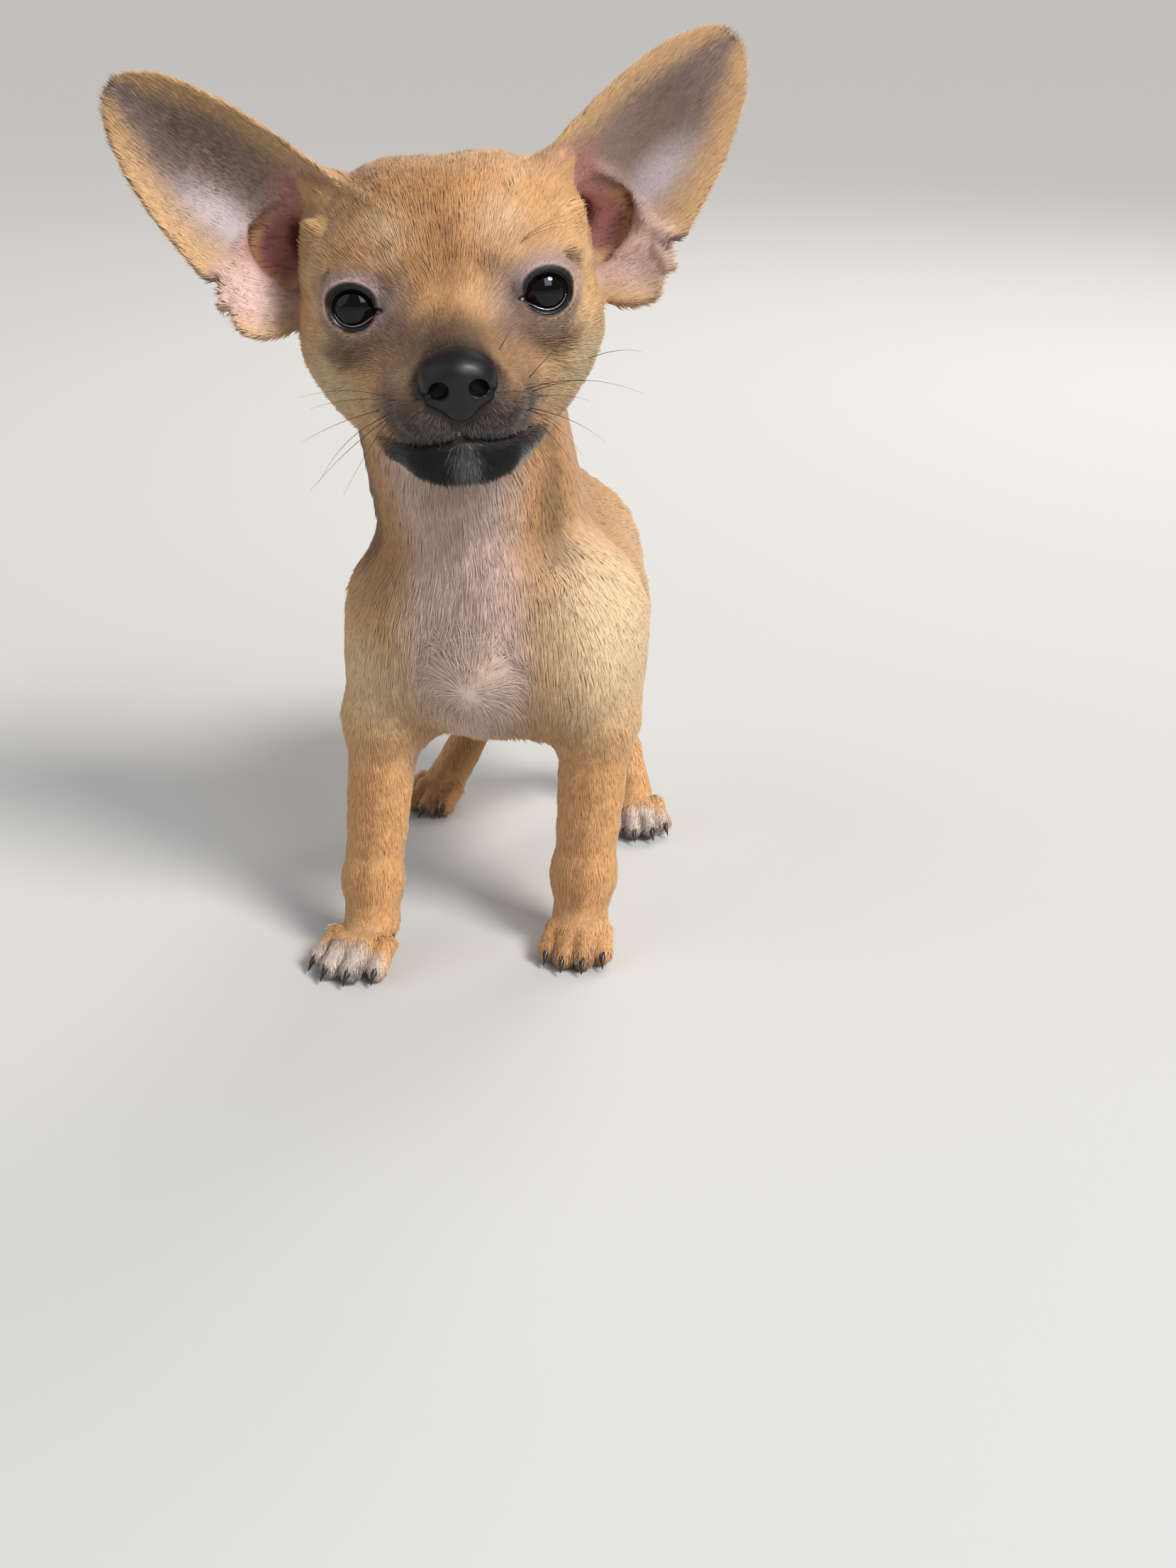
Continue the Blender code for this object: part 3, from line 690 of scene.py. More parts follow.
def clear_doubts(value, step):
    """Empties the grid points where two sheets of surface would share an edge or a point."""
    outside = 0.05 * step
    for _ in range(8):
        inside = value < 0
        changed = 0
        for axes in ((0, 1), (1, 2), (0, 2)):
            spots = {move: moved(inside, axes, move) for move in ((0, 0), (1, 0), (0, 1), (1, 1))}
            for full, empty in (DIAGONALS, DIAGONALS[::-1]):
                bad = inside[spots[full[0]]] & inside[spots[full[1]]]
                bad &= ~(inside[spots[empty[0]]] | inside[spots[empty[1]]])
                changed += int(bad.sum())
                value[spots[full[0]]][bad] = outside
        for move in ((0, 0, 0), (1, 0, 0), (0, 1, 0), (0, 0, 1)):
            far = tuple(1 - m for m in move)
            one, two = (moved(inside, (0, 1, 2), m) for m in (move, far))
            total = sum(inside[moved(inside, (0, 1, 2), (i, j, k))].astype(np.int8)
                        for i in (0, 1) for j in (0, 1) for k in (0, 1))
            lonely = inside[one] & inside[two] & (total == 2)
            hollow = ~inside[one] & ~inside[two] & (total == 6)
            changed += int(lonely.sum() + hollow.sum())
            value[one][lonely] = outside
            value[one][hollow] = -outside
        if not changed:
            return


def closed_mesh(value, low, step):
    """Vertices and four-sided faces of the surface where the value is zero."""
    clear_doubts(value, step)
    inside = value < 0
    corners = [(i, j, k) for i in (0, 1) for j in (0, 1) for k in (0, 1)]
    nx, ny, nz = (n - 1 for n in value.shape)
    filled = sum(inside[i:i + nx, j:j + ny, k:k + nz].astype(np.int8) for i, j, k in corners)
    cells = np.argwhere((filled > 0) & (filled < 8))
    number = np.full((nx, ny, nz), -1, np.int32)
    number[tuple(cells.T)] = np.arange(len(cells))
    place = np.zeros((len(cells), 3))
    count = np.zeros(len(cells))
    for axis in range(3):
        for corner in (c for c in corners if c[axis] == 0):
            a = cells + corner
            b = a.copy()
            b[:, axis] += 1
            va = value[tuple(a.T)]
            vb = value[tuple(b.T)]
            crossed = (va < 0) != (vb < 0)
            share = va[crossed] / (va[crossed] - vb[crossed])
            spot = np.tile(np.array(corner, float), (len(share), 1))
            spot[:, axis] += share
            place[crossed] += spot
            count[crossed] += 1
    vertices = low + step * (cells + place / count[:, None])
    faces = [quads_across(inside, number, axis) for axis in range(3)]
    return vertices, np.concatenate(faces)


def quads_across(inside, number, axis):
    """One quad round each grid edge along the axis that the surface crosses."""
    second, third = (axis + 1) % 3, (axis + 2) % 3
    ahead = np.take(inside, range(1, inside.shape[axis]), axis)
    behind = np.take(inside, range(inside.shape[axis] - 1), axis)
    edges = np.argwhere(ahead != behind)
    keep = (edges[:, second] > 0) & (edges[:, third] > 0)
    keep &= (edges[:, second] < inside.shape[second] - 1) & (edges[:, third] < inside.shape[third] - 1)
    edges = edges[keep]
    loops = []
    for back_second, back_third in ((1, 1), (0, 1), (0, 0), (1, 0)):
        cell = edges.copy()
        cell[:, second] -= back_second
        cell[:, third] -= back_third
        loops.append(number[tuple(cell.T)])
    quads = np.stack(loops, axis=1)
    starts_inside = behind[tuple(edges.T)]
    quads[~starts_inside] = quads[~starts_inside][:, ::-1]
    return quads


def settle(clay, points, rounds=2):
    """Moves places straight onto the clay's surface."""
    for _ in range(rounds):
        slope = clay.slope(points)
        steep = np.maximum((slope ** 2).sum(axis=1), 0.2)
        step = np.clip(clay.read(points) / steep, -0.5, 0.5)
        points = points - step[:, None] * slope
    return points


def mesh_places(piece):
    """A piece's vertices in millimetres in the puppy's frame."""
    places = np.empty(len(piece.data.vertices) * 3)
    piece.data.vertices.foreach_get("co", places)
    return places.reshape(-1, 3) / MM - SHIFT


def put_places(piece, places):
    piece.data.vertices.foreach_set("co", drop_to_model(places).ravel())
    piece.data.update()


def keep_body(piece):
    """Deletes every loose scrap but the one that holds the first vertex of the back."""
    off = np.linalg.norm(mesh_places(piece) - BACK_PLACE, axis=1)
    choose_vertices(piece, off == off.min())
    in_edit_mode(piece, bpy.ops.mesh.select_linked, choose("INVERT"),
                 lambda: bpy.ops.mesh.delete(type="VERT"))


def fewer_faces(piece, ratio):
    """Thins the mesh out, most of all where the weight in the group "plain" is high."""
    group = piece.vertex_groups.new(name="plain")
    places = mesh_places(piece)
    local = to_head(places)
    weight = ease(-30, 10, local[:, 1]) * 0.3 + ease(-36, -60, local[:, 2])
    for level in (0.2, 0.5, 0.8):
        chosen = np.flatnonzero(weight > level - 0.15)
        group.add(chosen.tolist(), level, "REPLACE")
    cut = piece.modifiers.new("fewer faces", "DECIMATE")
    cut.ratio = ratio
    cut.vertex_group = "plain"
    cut.vertex_group_factor = 4.0
    only_this(piece)
    bpy.ops.object.modifier_apply(modifier=cut.name)
    piece.vertex_groups.remove(piece.vertex_groups["plain"])


def finer_near_features(piece):
    """Halves the faces round the eyes and along the lips, where the folds are small."""
    places = mesh_places(piece)
    local = to_head(places)
    near = np.zeros(len(places), bool)
    for side in (-1, 1):
        near |= np.linalg.norm(places - eye_centre(side), axis=1) < 10.5
    lips = (np.abs(local[:, 2] - MOUTH_MIDDLE) < 3.5) & (np.abs(local[:, 0]) < MOUTH_HALF_WIDTH + 2)
    near |= lips & (local[:, 1] < 6)
    choose_vertices(piece, near)
    in_edit_mode(piece, lambda: bpy.ops.mesh.select_mode(type="FACE"),
                 lambda: bpy.ops.mesh.subdivide(number_cuts=1))


def model_skin(clay):
    low = np.array(cad_box[0]) / MM - SHIFT - 3
    high = np.array(cad_box[1]) / MM - SHIFT + 3
    points, faces = closed_mesh(read_grid(clay, low, high, STEP), low, STEP)
    skin = new_piece("skin", points, faces)
    keep_body(skin)
    count = 2 * len(skin.data.polygons)
    if count > SKIN_TRIANGLES:
        fewer_faces(skin, SKIN_TRIANGLES / count)
    finer_near_features(skin)
    put_places(skin, settle(clay, mesh_places(skin)))
    skin.data.shade_smooth()
    return skin


def unwrap(piece):
    piece.data.uv_layers.new(name="OFBake")
    in_edit_mode(piece, choose("SELECT"),
                 lambda: bpy.ops.uv.smart_project(angle_limit=math.radians(70), island_margin=0.002))


# Colours, as a painter would mix them, from 0 to 255

def mixed(red, green, blue):
    share = np.array((red, green, blue)) / 255
    return np.where(share <= 0.04045, share / 12.92, ((share + 0.055) / 1.055) ** 2.4)


TAN = mixed(216, 168, 116)
GOLD = mixed(234, 192, 138)
CREAM = mixed(244, 220, 184)
FOREHEAD = mixed(208, 154, 102)
STREAK_AND_FOLD_SHADE = mixed(162, 106, 62)
BROW_GREY = mixed(160, 132, 118)
SMUDGE = mixed(116, 90, 74)
MUZZLE = mixed(104, 80, 68)
MUZZLE_SIDE = mixed(158, 122, 92)
MUZZLE_DARK = mixed(50, 40, 37)
LIP_BLACK = mixed(22, 18, 18)
FROST_AND_GLINT = mixed(176, 172, 170)
LILAC = mixed(172, 146, 146)
LID_BLACK_AND_SHADOW = mixed(16, 13, 13)
PALE_PINK = mixed(230, 202, 188)
MAUVE_AND_SHADOW = mixed(190, 158, 144)
WHORL_HIGHLIGHT_CREAM = mixed(242, 212, 190)
BELLY_PINK = mixed(200, 166, 154)
NECK_DARK_AND_SHADE = mixed(104, 80, 58)
LEG_TAN = mixed(220, 166, 112)
BACK_TAN = mixed(194, 148, 102)
TOE_WHITE = mixed(228, 212, 202)
TOE_SHADE = mixed(70, 54, 46)
EAR_TAUPE = mixed(146, 124, 112)
EAR_SHEEN = mixed(196, 182, 184)
EAR_SHADE = mixed(108, 86, 74)
EAR_GOLD = mixed(216, 172, 122)
EAR_PINK = mixed(182, 128, 118)
EAR_LOBE = mixed(226, 192, 180)
CANAL_PINK_AND_SHADE = mixed(138, 82, 74)
CANAL_DEEP_SHADE = mixed(84, 46, 42)
SKIN_PINK = mixed(206, 156, 146)


def spot(points, centre, radii, soft=0.45):
    """1 inside an ellipsoid, fading to 0 past its edge."""
    local = (points - np.asarray(centre, float)) / np.asarray(radii, float)
    return 1 - ease(1 - soft, 1 + soft, np.linalg.norm(local, axis=1))


def stripe(points, start, end, radius, soft=0.6):
    """1 along a line, fading to 0 past its radius."""
    distance = limb(start, end, 0.001, 0.001)[0](points)
    return 1 - ease(1 - soft, 1 + soft, distance / radius)


def paint(colour, new_colour, mask):
    return colour + (new_colour - colour) * mask[:, None]


def paint_spots(colour, points, rows, within=1.0):
    """Paints soft spots: each row has a colour, centre, radii, softness and strength."""
    for new_colour, centre, radii, soft, strength in rows:
        colour = paint(colour, new_colour, within * spot(points, centre, radii, soft) * strength)
    return colour


def ripple(points, length, seed):
    """Smooth waves between about -1 and 1, of a length in millimetres."""
    random = np.random.default_rng(seed)
    total = np.zeros(len(points))
    for _ in range(7):
        wave = unit(random.normal(size=3)) * random.uniform(0.7, 1.5) * 2 * math.pi / length
        total += np.sin(points @ wave + random.uniform(0, 2 * math.pi))
    return total / 2.6


def ear_share(points, side):
    """How much a place belongs to an ear, its share of the way to the edge, and its ear places."""
    local = to_ear(points, side)
    across, along = local[:, 0], local[:, 2]
    length = EAR_LENGTH * EAR_LOOK[side]["reach"]
    bowl, slope, half, _ = ear_bowl(across, along, length)
    ahead = bowl - local[:, 1]
    root = ease(13, 5, along) * ease(17, 12, np.hypot(across - 3.5, along - 8))
    depth = 3.2 * np.sqrt(1 + slope ** 2)
    within = (ahead < depth) & (ahead > -depth - 8 * root)
    inside = (np.abs(across) < half + 1.5) & (along < length + 3) & (along > -9)
    skull = ellipsoid((0, 24, -3), (29, 30, 29))[0](to_head(points))
    member = np.where(within & inside, ease(-1.0, 2.5, skull), 0.0)
    return member, across / np.maximum(half, 1.0), ahead, across, along


def paint_face(local, colour):
    """The forehead, brows, cheeks, the painted shade of the fold above each eye and the grey smudges
    under the eyes.
    """
    y, z = local[:, 1], local[:, 2]
    halves = both_sides(local)
    head = ease(-48, -40, z) * ease(62, 50, y) * ease(-2, 4, z + 40 - 0.5 * np.maximum(y, 0))
    crown = ease(10, 30, y)
    colour = paint(colour, TAN * (1 - 0.1 * crown)[:, None], head)
    colour = paint_spots(colour, local, ((FOREHEAD, (1, 3, 16), (17, 20, 12), 0.7, 0.7),), head)
    colour = paint_spots(colour, halves, ((GOLD, (25, 8, -10), (12, 14, 20), 0.7, 0.85),
                                          (CREAM, (25, 8, -16), (7, 9, 9), 0.8, 0.5),
                                          (CREAM, (12, -1, 14.5), (5, 8, 6), 0.8, 0.35)), head)
    colour = paint_spots(colour, local, ((STREAK_AND_FOLD_SHADE, (0.5, -1, 9), (2.6, 12, 12), 0.8, 0.5),), head)
    # The first row is painted shade: a thin dark band above each eye where the upper lid folds
    return paint_spots(colour, halves, ((STREAK_AND_FOLD_SHADE, (19, -1, 11), (7, 7, 2.2), 0.8, 0.3),
                                        (BROW_GREY, (11.5, -2, -0.5), (4.5, 8, 7), 0.6, 0.75),
                                        (SMUDGE, (20.5, -2, -9.5), (8.5, 8, 3.6), 0.6, 0.85),
                                        (SMUDGE, (13.5, -3, -6.5), (4.5, 7, 4.0), 0.6, 0.7)), head)


def paint_muzzle(local, colour, bare):
    """Greyish brown over the muzzle, darker round the nose, with black lips and a frosted chin."""
    halves = both_sides(local)
    colour = paint_spots(colour, halves, ((MUZZLE, (0, -12, -7.0), (10, 9, 6.0), 0.7, 0.9),
                                          (MUZZLE_SIDE, (12, -6, -14), (6, 9, 7), 0.6, 0.8),
                                          (MUZZLE, (7, -11, -22.5), (13.0, 14, 7.0), 0.4, 0.95),
                                          (MUZZLE_DARK, (0, -16.5, -15), (10.4, 6.5, 8.8), 0.25, 0.9),
                                          (MUZZLE_DARK, (4.5, -14, -24.0), (13, 10, 4.2), 0.6, 0.75),
                                          (LIP_BLACK, (0, -16.5, -15), (8.6, 6.5, 7.0), 0.25, 1.0)))
    height = local[:, 2] + 28.4 + 1.2 * (halves[:, 0] / 14) ** 2
    lips = ease(3.4, 0.2, height) * ease(18.6, 16.0, halves[:, 0]) * ease(14, 8, local[:, 1])
    lips *= ease(-42, -40, local[:, 2])
    colour = paint(colour, LIP_BLACK, lips)
    colour = paint_spots(colour, local, ((FROST_AND_GLINT, (0.2, -13, -33.0), (2.4, 9, 3.6), 0.9, 0.3),), lips)
    return colour, np.maximum(bare, lips * 0.9)


def paint_lids(points, colour, bare):
    """Lilac skin round the eyes and the black edge of the lids, widest above, where the extra width is
    the upper lid's painted shadow.
    """
    for side in (-1, 1):
        seen, off = round_eye(points, side)
        front = ease(2, -2, seen[:, 1])
        above = ease(-1, 4, seen[:, 2])
        inner = ease(2.0, 8.0, -side * seen[:, 0])
        ring = ease(9.4 + 0.8 * above, 6.4, off) * front
        colour = paint(colour, LILAC, ring * (0.45 + 0.35 * above + 0.15 * inner))
        colour = paint(colour, SMUDGE, ring * ease(1, -4, seen[:, 2]) * 0.55)
        corner = (MUZZLE_DARK, (-side * 6.4, -3, 0.3), (2.4, 6, 2.8), 0.7, 0.7)
        colour = paint_spots(colour, seen, (corner,), ring)
        # The black lid edge, and above it a wider band as painted shadow under the upper lid
        edge = 4.9 + 0.6 * above
        colour = paint(colour, LID_BLACK_AND_SHADOW, ease(edge + 0.7, edge, off) * front)
        bare = np.maximum(bare, ease(7.6, 5.6, off) * front)
    return colour, bare


def paint_ears(points, colour, bare):
    for side in (-1, 1):
        member, edge, ahead, across, along = ear_share(points, side)
        front = ease(-0.3, 0.5, ahead) * member
        seen = np.stack((across, along, np.zeros_like(across)), axis=1)
        share = along / EAR_LENGTH
        colour = paint(colour, BACK_TAN, member * ease(0.3, -0.5, ahead))
        colour = paint(colour, EAR_TAUPE, front)
        colour = paint_spots(colour, seen, ((EAR_SHADE, (0.5, 34, 0), (7, 12, 9), 0.8, 0.6),
                                            (EAR_SHEEN, (8.5, 25, 0), (4.2, 9, 9), 0.8, 0.75)), front)
        rim = ease(0.42, 0.92, np.abs(edge) + 0.35 * ease(0.55, 1.0, share))
        colour = paint(colour, EAR_GOLD, front * rim * 0.9)
        bowl = spot(seen, (5.5, 9.5, 0), (9.0, 8.4, 9), 0.25)
        pink = np.maximum(bowl, spot(seen, (-6, 10, 0), (6, 9, 9), 0.5))
        colour = paint(colour, EAR_PINK, front * pink)
        colour = paint_spots(colour, seen, ((EAR_LOBE, (16.0, 8.5, 0), (6.5, 8.5, 9), 0.5, 0.9),), front)
        lit = member * ease(-8, -6, ahead)
        deep = member * ease(0.5, 2.5, -ahead) * ease(-9.5, -6.0, ahead) * bowl
        # The canal's pink skin, darkened as painted shade in the sunk bowl, and darker still deep in it
        colour = paint_spots(colour, seen, ((CANAL_PINK_AND_SHADE, (4.2, 9.0, 0), (7.5, 6.8, 9), 0.3, 1.0),), lit)
        colour = paint_spots(colour, seen, ((CANAL_DEEP_SHADE, (3.5, 8.0, 0), (5.0, 5.0, 9), 0.6, 0.8),), deep)
        # Painted shade: black in the pocket at the ear's outer edge
        pocket_shade = (LIP_BLACK, (20.6, 15.8, 0), (3.2, 1.7, 9), 0.5, 0.9)
        colour = paint_spots(colour, seen, (pocket_shade,), front)
        thin = ease(0.95, 0.6, np.abs(edge)) * ease(0.9, 0.5, share) * ease(-0.3, 0.5, ahead)
        bare = np.maximum(bare, lit * np.maximum(thin, bowl))
    return colour, bare


def paint_body(points):
    """The body's colour, from the nape to the paws and the tail."""
    x, y, z = points.T
    colour = np.tile(BACK_TAN, (len(points), 1))
    colour = paint(colour, GOLD, ease(106, 84, z) * 0.6)
    colour = paint_spots(colour, points, ((CREAM, (27, -46, 88), (12, 22, 24), 0.8, 0.6),
                                          (CREAM, (-26, -52, 74), (9, 14, 12), 0.6, 0.45)))
    colour = paint(colour, LEG_TAN, ease(64, 46, z) * 0.92)
    bib = stripe(points, *BIB_LINE, 17, 0.35) * ease(-32, -46, y)
    colour = paint(colour, PALE_PINK, bib * 0.9)
    # Mauve in the middle of the chest: thin hair over the skin, and partly painted shadow
    colour = paint_spots(colour, points, ((MAUVE_AND_SHADOW, (-3, -62, 96), (12, 12, 13), 0.8, 0.45),
                                          # Painted highlight: pale cream on the chest's whorl
                                          (WHORL_HIGHLIGHT_CREAM, (1, -64, 83), (6, 10, 8), 0.8, 0.7)))
    belly = ease(60, 50, z) * ease(20, 12, np.abs(x + 3)) * ease(44, 49, z)
    colour = paint(colour, BELLY_PINK, belly)
    # Dark sable lines down the neck's sides; the one on the right lies on the neck's far edge and is
    # partly painted shade
    colour = paint(colour, NECK_DARK_AND_SHADE, stripe(points, (-29, -46, 134), (-29, -44, 104), 4.5, 0.7) * 0.75)
    colour = paint(colour, NECK_DARK_AND_SHADE, stripe(points, (17, -46, 134), (15, -46, 106), 4.0, 0.7) * 0.6)
    bare = np.maximum(0.65 * bib, 0.8 * belly)
    return colour, bare


def paint_paws(points, colour):
    """Pale toes on the right front paw and the left hind paw, with painted shade low on the toes by the
    floor and in the clefts between all toes.
    """
    for side in (-1, 1):
        for look, size, white in ((FRONT[side], FRONT_PAW_SIZE, side < 0),
                                  (HIND[side], HIND_PAW_SIZE, side > 0)):
            heel, ahead, across = paw_frame(look)
            reach = (points - heel) @ ahead / size
            offset = (points - heel) @ across / size / look["spread"]
            near = ease(11, 8, np.abs(offset)) * ease(-10, -6, reach) * ease(22, 18, reach)
            near *= ease(17, 12, points[:, 2])
            toes = near * ease(7.5, 11.5, reach)
            # Painted shade: darker low on the front of the toes, by the floor
            low_toe_shade = near * ease(11.0, 14.5, reach) * ease(4.5, 2.0, points[:, 2])
            colour = paint(colour, TOE_WHITE if white else LEG_TAN, toes * 0.85)
            colour = paint(colour, TOE_SHADE, low_toe_shade * 0.5)
            # Painted shade in the clefts between the toes
            for gap in TOE_GAPS:
                cleft_shade = ease(1.1, 0.3, np.abs(offset - gap)) * near * ease(6.0, 10.0, reach)
                colour = paint(colour, TOE_SHADE, cleft_shade * ease(9.0, 5.5, points[:, 2]) * 0.7)
    return colour


def markings(points):
    """The coat's colour at any places, and how bare the skin is there."""
    local = to_head(points)
    colour, bare = paint_body(points)
    colour = paint_paws(points, colour)
    colour = paint_face(local, colour)
    colour, bare = paint_muzzle(local, colour, bare)
    colour, bare = paint_lids(points, colour, bare)
    return paint_ears(points, colour, bare)


# The lie, length and width of the coat

# Each row: the part's name, its line, its radius and the way the hair lies there
BONES = [
    ("neck", (-10, -42, 148), (-4.5, -30, 108), 24, (0.05, 0.15, -1.0)),
    ("chest", (-1, -42, 92), (-1, -38, 72), 25, (0.0, 0.2, -1.0)),
    ("back", (-1.5, -16, 84), (-3, 6, 84), 28, (0.0, 1.0, -0.30)),
    ("rump", (-4.5, 20, 80), (-7.5, 40, 82), 24, (0.0, 1.0, -0.45)),
    ("tail", TAIL_PATH[0], TAIL_PATH[2], 5, (0.0, 1.0, -0.55)),
    ("tail", TAIL_PATH[2], TAIL_PATH[5], 3, (0.0, 1.0, -0.1)),
]


def leg_bones(side, word):
    fore, hind = FRONT[side], HIND[side]
    shoulder = (side * 20 - 1, fore["elbow"][1] + 3, 80)
    front_toes = (fore["ankle"][0], fore["ankle"][1] - 8, 6)
    hind_toes = (hind["paw"][0] + 3 * side, hind["paw"][1] - 12, 5)
    front, rear = "front_leg_" + word, "hind_leg_" + word
    return [
        (front, shoulder, fore["elbow"], 12, (0, 0.45, -1)),
        (front, fore["elbow"], fore["wrist"], 8.5, (0, 0.05, -1)),
        (front, fore["wrist"], front_toes, 7.5, (0, -0.7, -0.7)),
        (rear, hind["thigh"], hind["knee"], 13, (0, 0.5, -1)),
        (rear, hind["knee"], hind["hock"], 7, (0, 0.7, -0.8)),
        (rear, hind["hock"], hind["ankle"], 5.5, (0, -0.3, -1)),
        (rear, hind["ankle"], hind_toes, 6, (0, -1.0, -0.4)),
    ]


for some_side, some_word in SIDES:
    BONES += leg_bones(some_side, some_word)


def comb_coat(points, normals, random):
    """Which part of the puppy each place is on, and the way its hair lies."""
    local = to_head(points)
    gaps = [limb(start, end, radius, radius)[0](points) for _, start, end, radius, _ in BONES]
    gaps.append(ellipsoid((0, 18, -6), (30, 40, 33))[0](local) - 1.5)
    gaps = np.stack(gaps, axis=1)
    share = np.exp(-np.maximum(gaps - gaps.min(axis=1, keepdims=True), 0) / 3.0)
    share /= share.sum(axis=1, keepdims=True)
    lie = np.zeros_like(points)
    for i, bone in enumerate(BONES):
        lie += share[:, i:i + 1] * unit(np.array(bone[4], float))
    lie += share[:, -1:] * unit(points - on_head(0, -34, -11))
    names = np.array([bone[0] for bone in BONES] + ["head"], dtype=object)[gaps.argmin(axis=1)]
    whorl = spot(points, WHORL_PLACE, (12, 16, 12), 0.5)
    lie = paint(lie, unit(points - (np.array(WHORL_PLACE) + (0, 12, 0))), whorl)
    for side, word in SIDES:
        member, _, _, across, along = ear_share(points, side)
        radial = np.stack((across + 3.0, np.zeros_like(across), along + 12), axis=1)
        lie = paint(lie, unit(radial) @ ear_axes(side).T, member)
        outward = unit(HEAD_TURN @ np.array((side, -0.15, 0.35)))
        lie = paint(lie, outward, over_ear_mouth(local, side))
        names[member > 0.5] = "ear_" + word
    lie += 0.09 * np.stack([ripple(points, 8, 20 + i) for i in range(3)], axis=1)
    lie += 0.05 * np.stack([ripple(points, 2.8, 30 + i) for i in range(3)], axis=1)
    lie += 0.06 * random.normal(size=points.shape)
    lie -= (lie * normals).sum(axis=1, keepdims=True) * normals
    return names, unit(lie)


def over_ear_mouth(local, side):
    """1 where the skull's hair reaches out over the opening of an ear."""
    return spot(local, (side * 27.0, 14.0, 9.0), (2.6, 4.0, 9.0), 0.8)


# For each part: hair length and width in millimetres, lift in degrees, hairs on a square millimetre
COAT = {
    "head": (3.7, 0.22, 8, 6.6),
    "ear": (2.7, 0.20, 7, 7.5),
    "neck": (5.0, 0.28, 8, 4.2),
    "chest": (5.0, 0.28, 8, 4.2),
    "back": (5.0, 0.30, 7, 4.0),
    "rump": (4.8, 0.30, 7, 4.0),
    "tail": (4.4, 0.26, 8, 6.0),
    "front_leg": (3.2, 0.24, 6, 5.8),
    "hind_leg": (3.4, 0.25, 6, 5.2),
}


def groom(points, names):
    """The hair's length, width, lift and density at each place."""
    kinds = np.array([name.replace("_left", "").replace("_right", "") for name in names], dtype=object)
    table = np.array([COAT[kind] for kind in kinds])
    length, width, lift, density = table.T.copy()
    local = to_head(points)
    on_the_head = kinds == "head"
    from_nose = np.linalg.norm(local - np.array((0, -18, -15)), axis=1)
    near_nose = (1 - ease(9, 34, from_nose)) * on_the_head
    length *= 1 - 0.58 * near_nose
    width *= 1 - 0.3 * near_nose
    density *= 1 + 0.5 * near_nose
    lips = ease(-24.5, -27.5, local[:, 2]) * ease(16, 6, local[:, 1]) * on_the_head
    length *= 1 + 0.35 * lips
    for side in (-1, 1):
        seen, off = round_eye(points, side)
        front = seen[:, 1] < 1
        close = (1 - ease(6.0, 11.0, off)) * front
        length *= 1 - 0.66 * close
        width *= 1 - 0.35 * close
        density = np.where(front & (off < 5.5 + 0.6 * ease(-1, 4, seen[:, 2])), 0.0, density)
        member, edge, ahead, across, along = ear_share(points, side)
        middle = member * ease(-0.3, 0.5, ahead) * ease(0.75, 0.4, np.abs(edge))
        middle *= ease(0.8, 0.4, along / EAR_LENGTH)
        density *= 1 - 0.7 * middle
        length *= 1 - 0.4 * middle
        bowl = spot(np.stack((across, along, 0 * across), axis=1), (5.0, 8.5, 0), (8.5, 8.0, 9), 0.25)
        density *= 1 - 0.93 * bowl * member * ease(-8, -6, ahead)
        reaching = over_ear_mouth(local, side)
        length *= 1 + 0.3 * reaching
        lift += 10 * reaching
    nose = ellipsoid((0, -17, -15), (NOSE_WIDTH / 2 + 0.3, 7, 7.5))[0](local)
    density = np.where(nose < 0.2, 0.0, density)
    low = ease(12, 4, points[:, 2]) * (kinds != "tail")
    length *= 1 - 0.45 * low
    width *= 1 - 0.2 * low
    density *= 1 + 0.3 * low
    density = np.where(points[:, 2] < 0.7, 0.0, density)
    bib = stripe(points, *BIB_LINE, 15, 0.35) * (points[:, 1] < -34)
    density *= 1 - 0.35 * bib * (~on_the_head)
    return length, width, lift, density


def sow(skin, clay, random):
    """Roots all over the skin, more of them where the coat is denser."""
    mesh = skin.data
    mesh.calc_loop_triangles()
    count = len(mesh.loop_triangles)
    corners = np.empty(count * 3, np.int32)
    mesh.loop_triangles.foreach_get("vertices", corners)
    loops = np.empty(count * 3, np.int32)
    mesh.loop_triangles.foreach_get("loops", loops)
    corners, loops = corners.reshape(-1, 3), loops.reshape(-1, 3)
    uv = np.empty(len(mesh.loops) * 2)
    mesh.uv_layers["OFBake"].data.foreach_get("uv", uv)
    uv = uv.reshape(-1, 2)
    places = mesh_places(skin)
    a, b, c = (places[corners[:, i]] for i in range(3))
    area = np.linalg.norm(np.cross(b - a, c - a), axis=1) / 2
    middle_names, _ = comb_coat((a + b + c) / 3, unit(np.cross(b - a, c - a)), np.random.default_rng(1))
    density = groom((a + b + c) / 3, middle_names)[3] * COAT_FULLNESS
    wanted = area * density
    number = np.floor(wanted + random.random(count)).astype(int)
    chosen = np.repeat(np.arange(count), number)
    first, second = random.random(len(chosen)), random.random(len(chosen))
    flip = first + second > 1
    first[flip], second[flip] = 1 - first[flip], 1 - second[flip]
    third = 1 - first - second
    weights = np.stack((third, first, second), axis=1)
    roots = (places[corners[chosen]] * weights[..., None]).sum(axis=1)
    root_uv = (uv[loops[chosen]] * weights[..., None]).sum(axis=1)
    normals = unit(clay.slope(roots))
    return roots, normals, root_uv


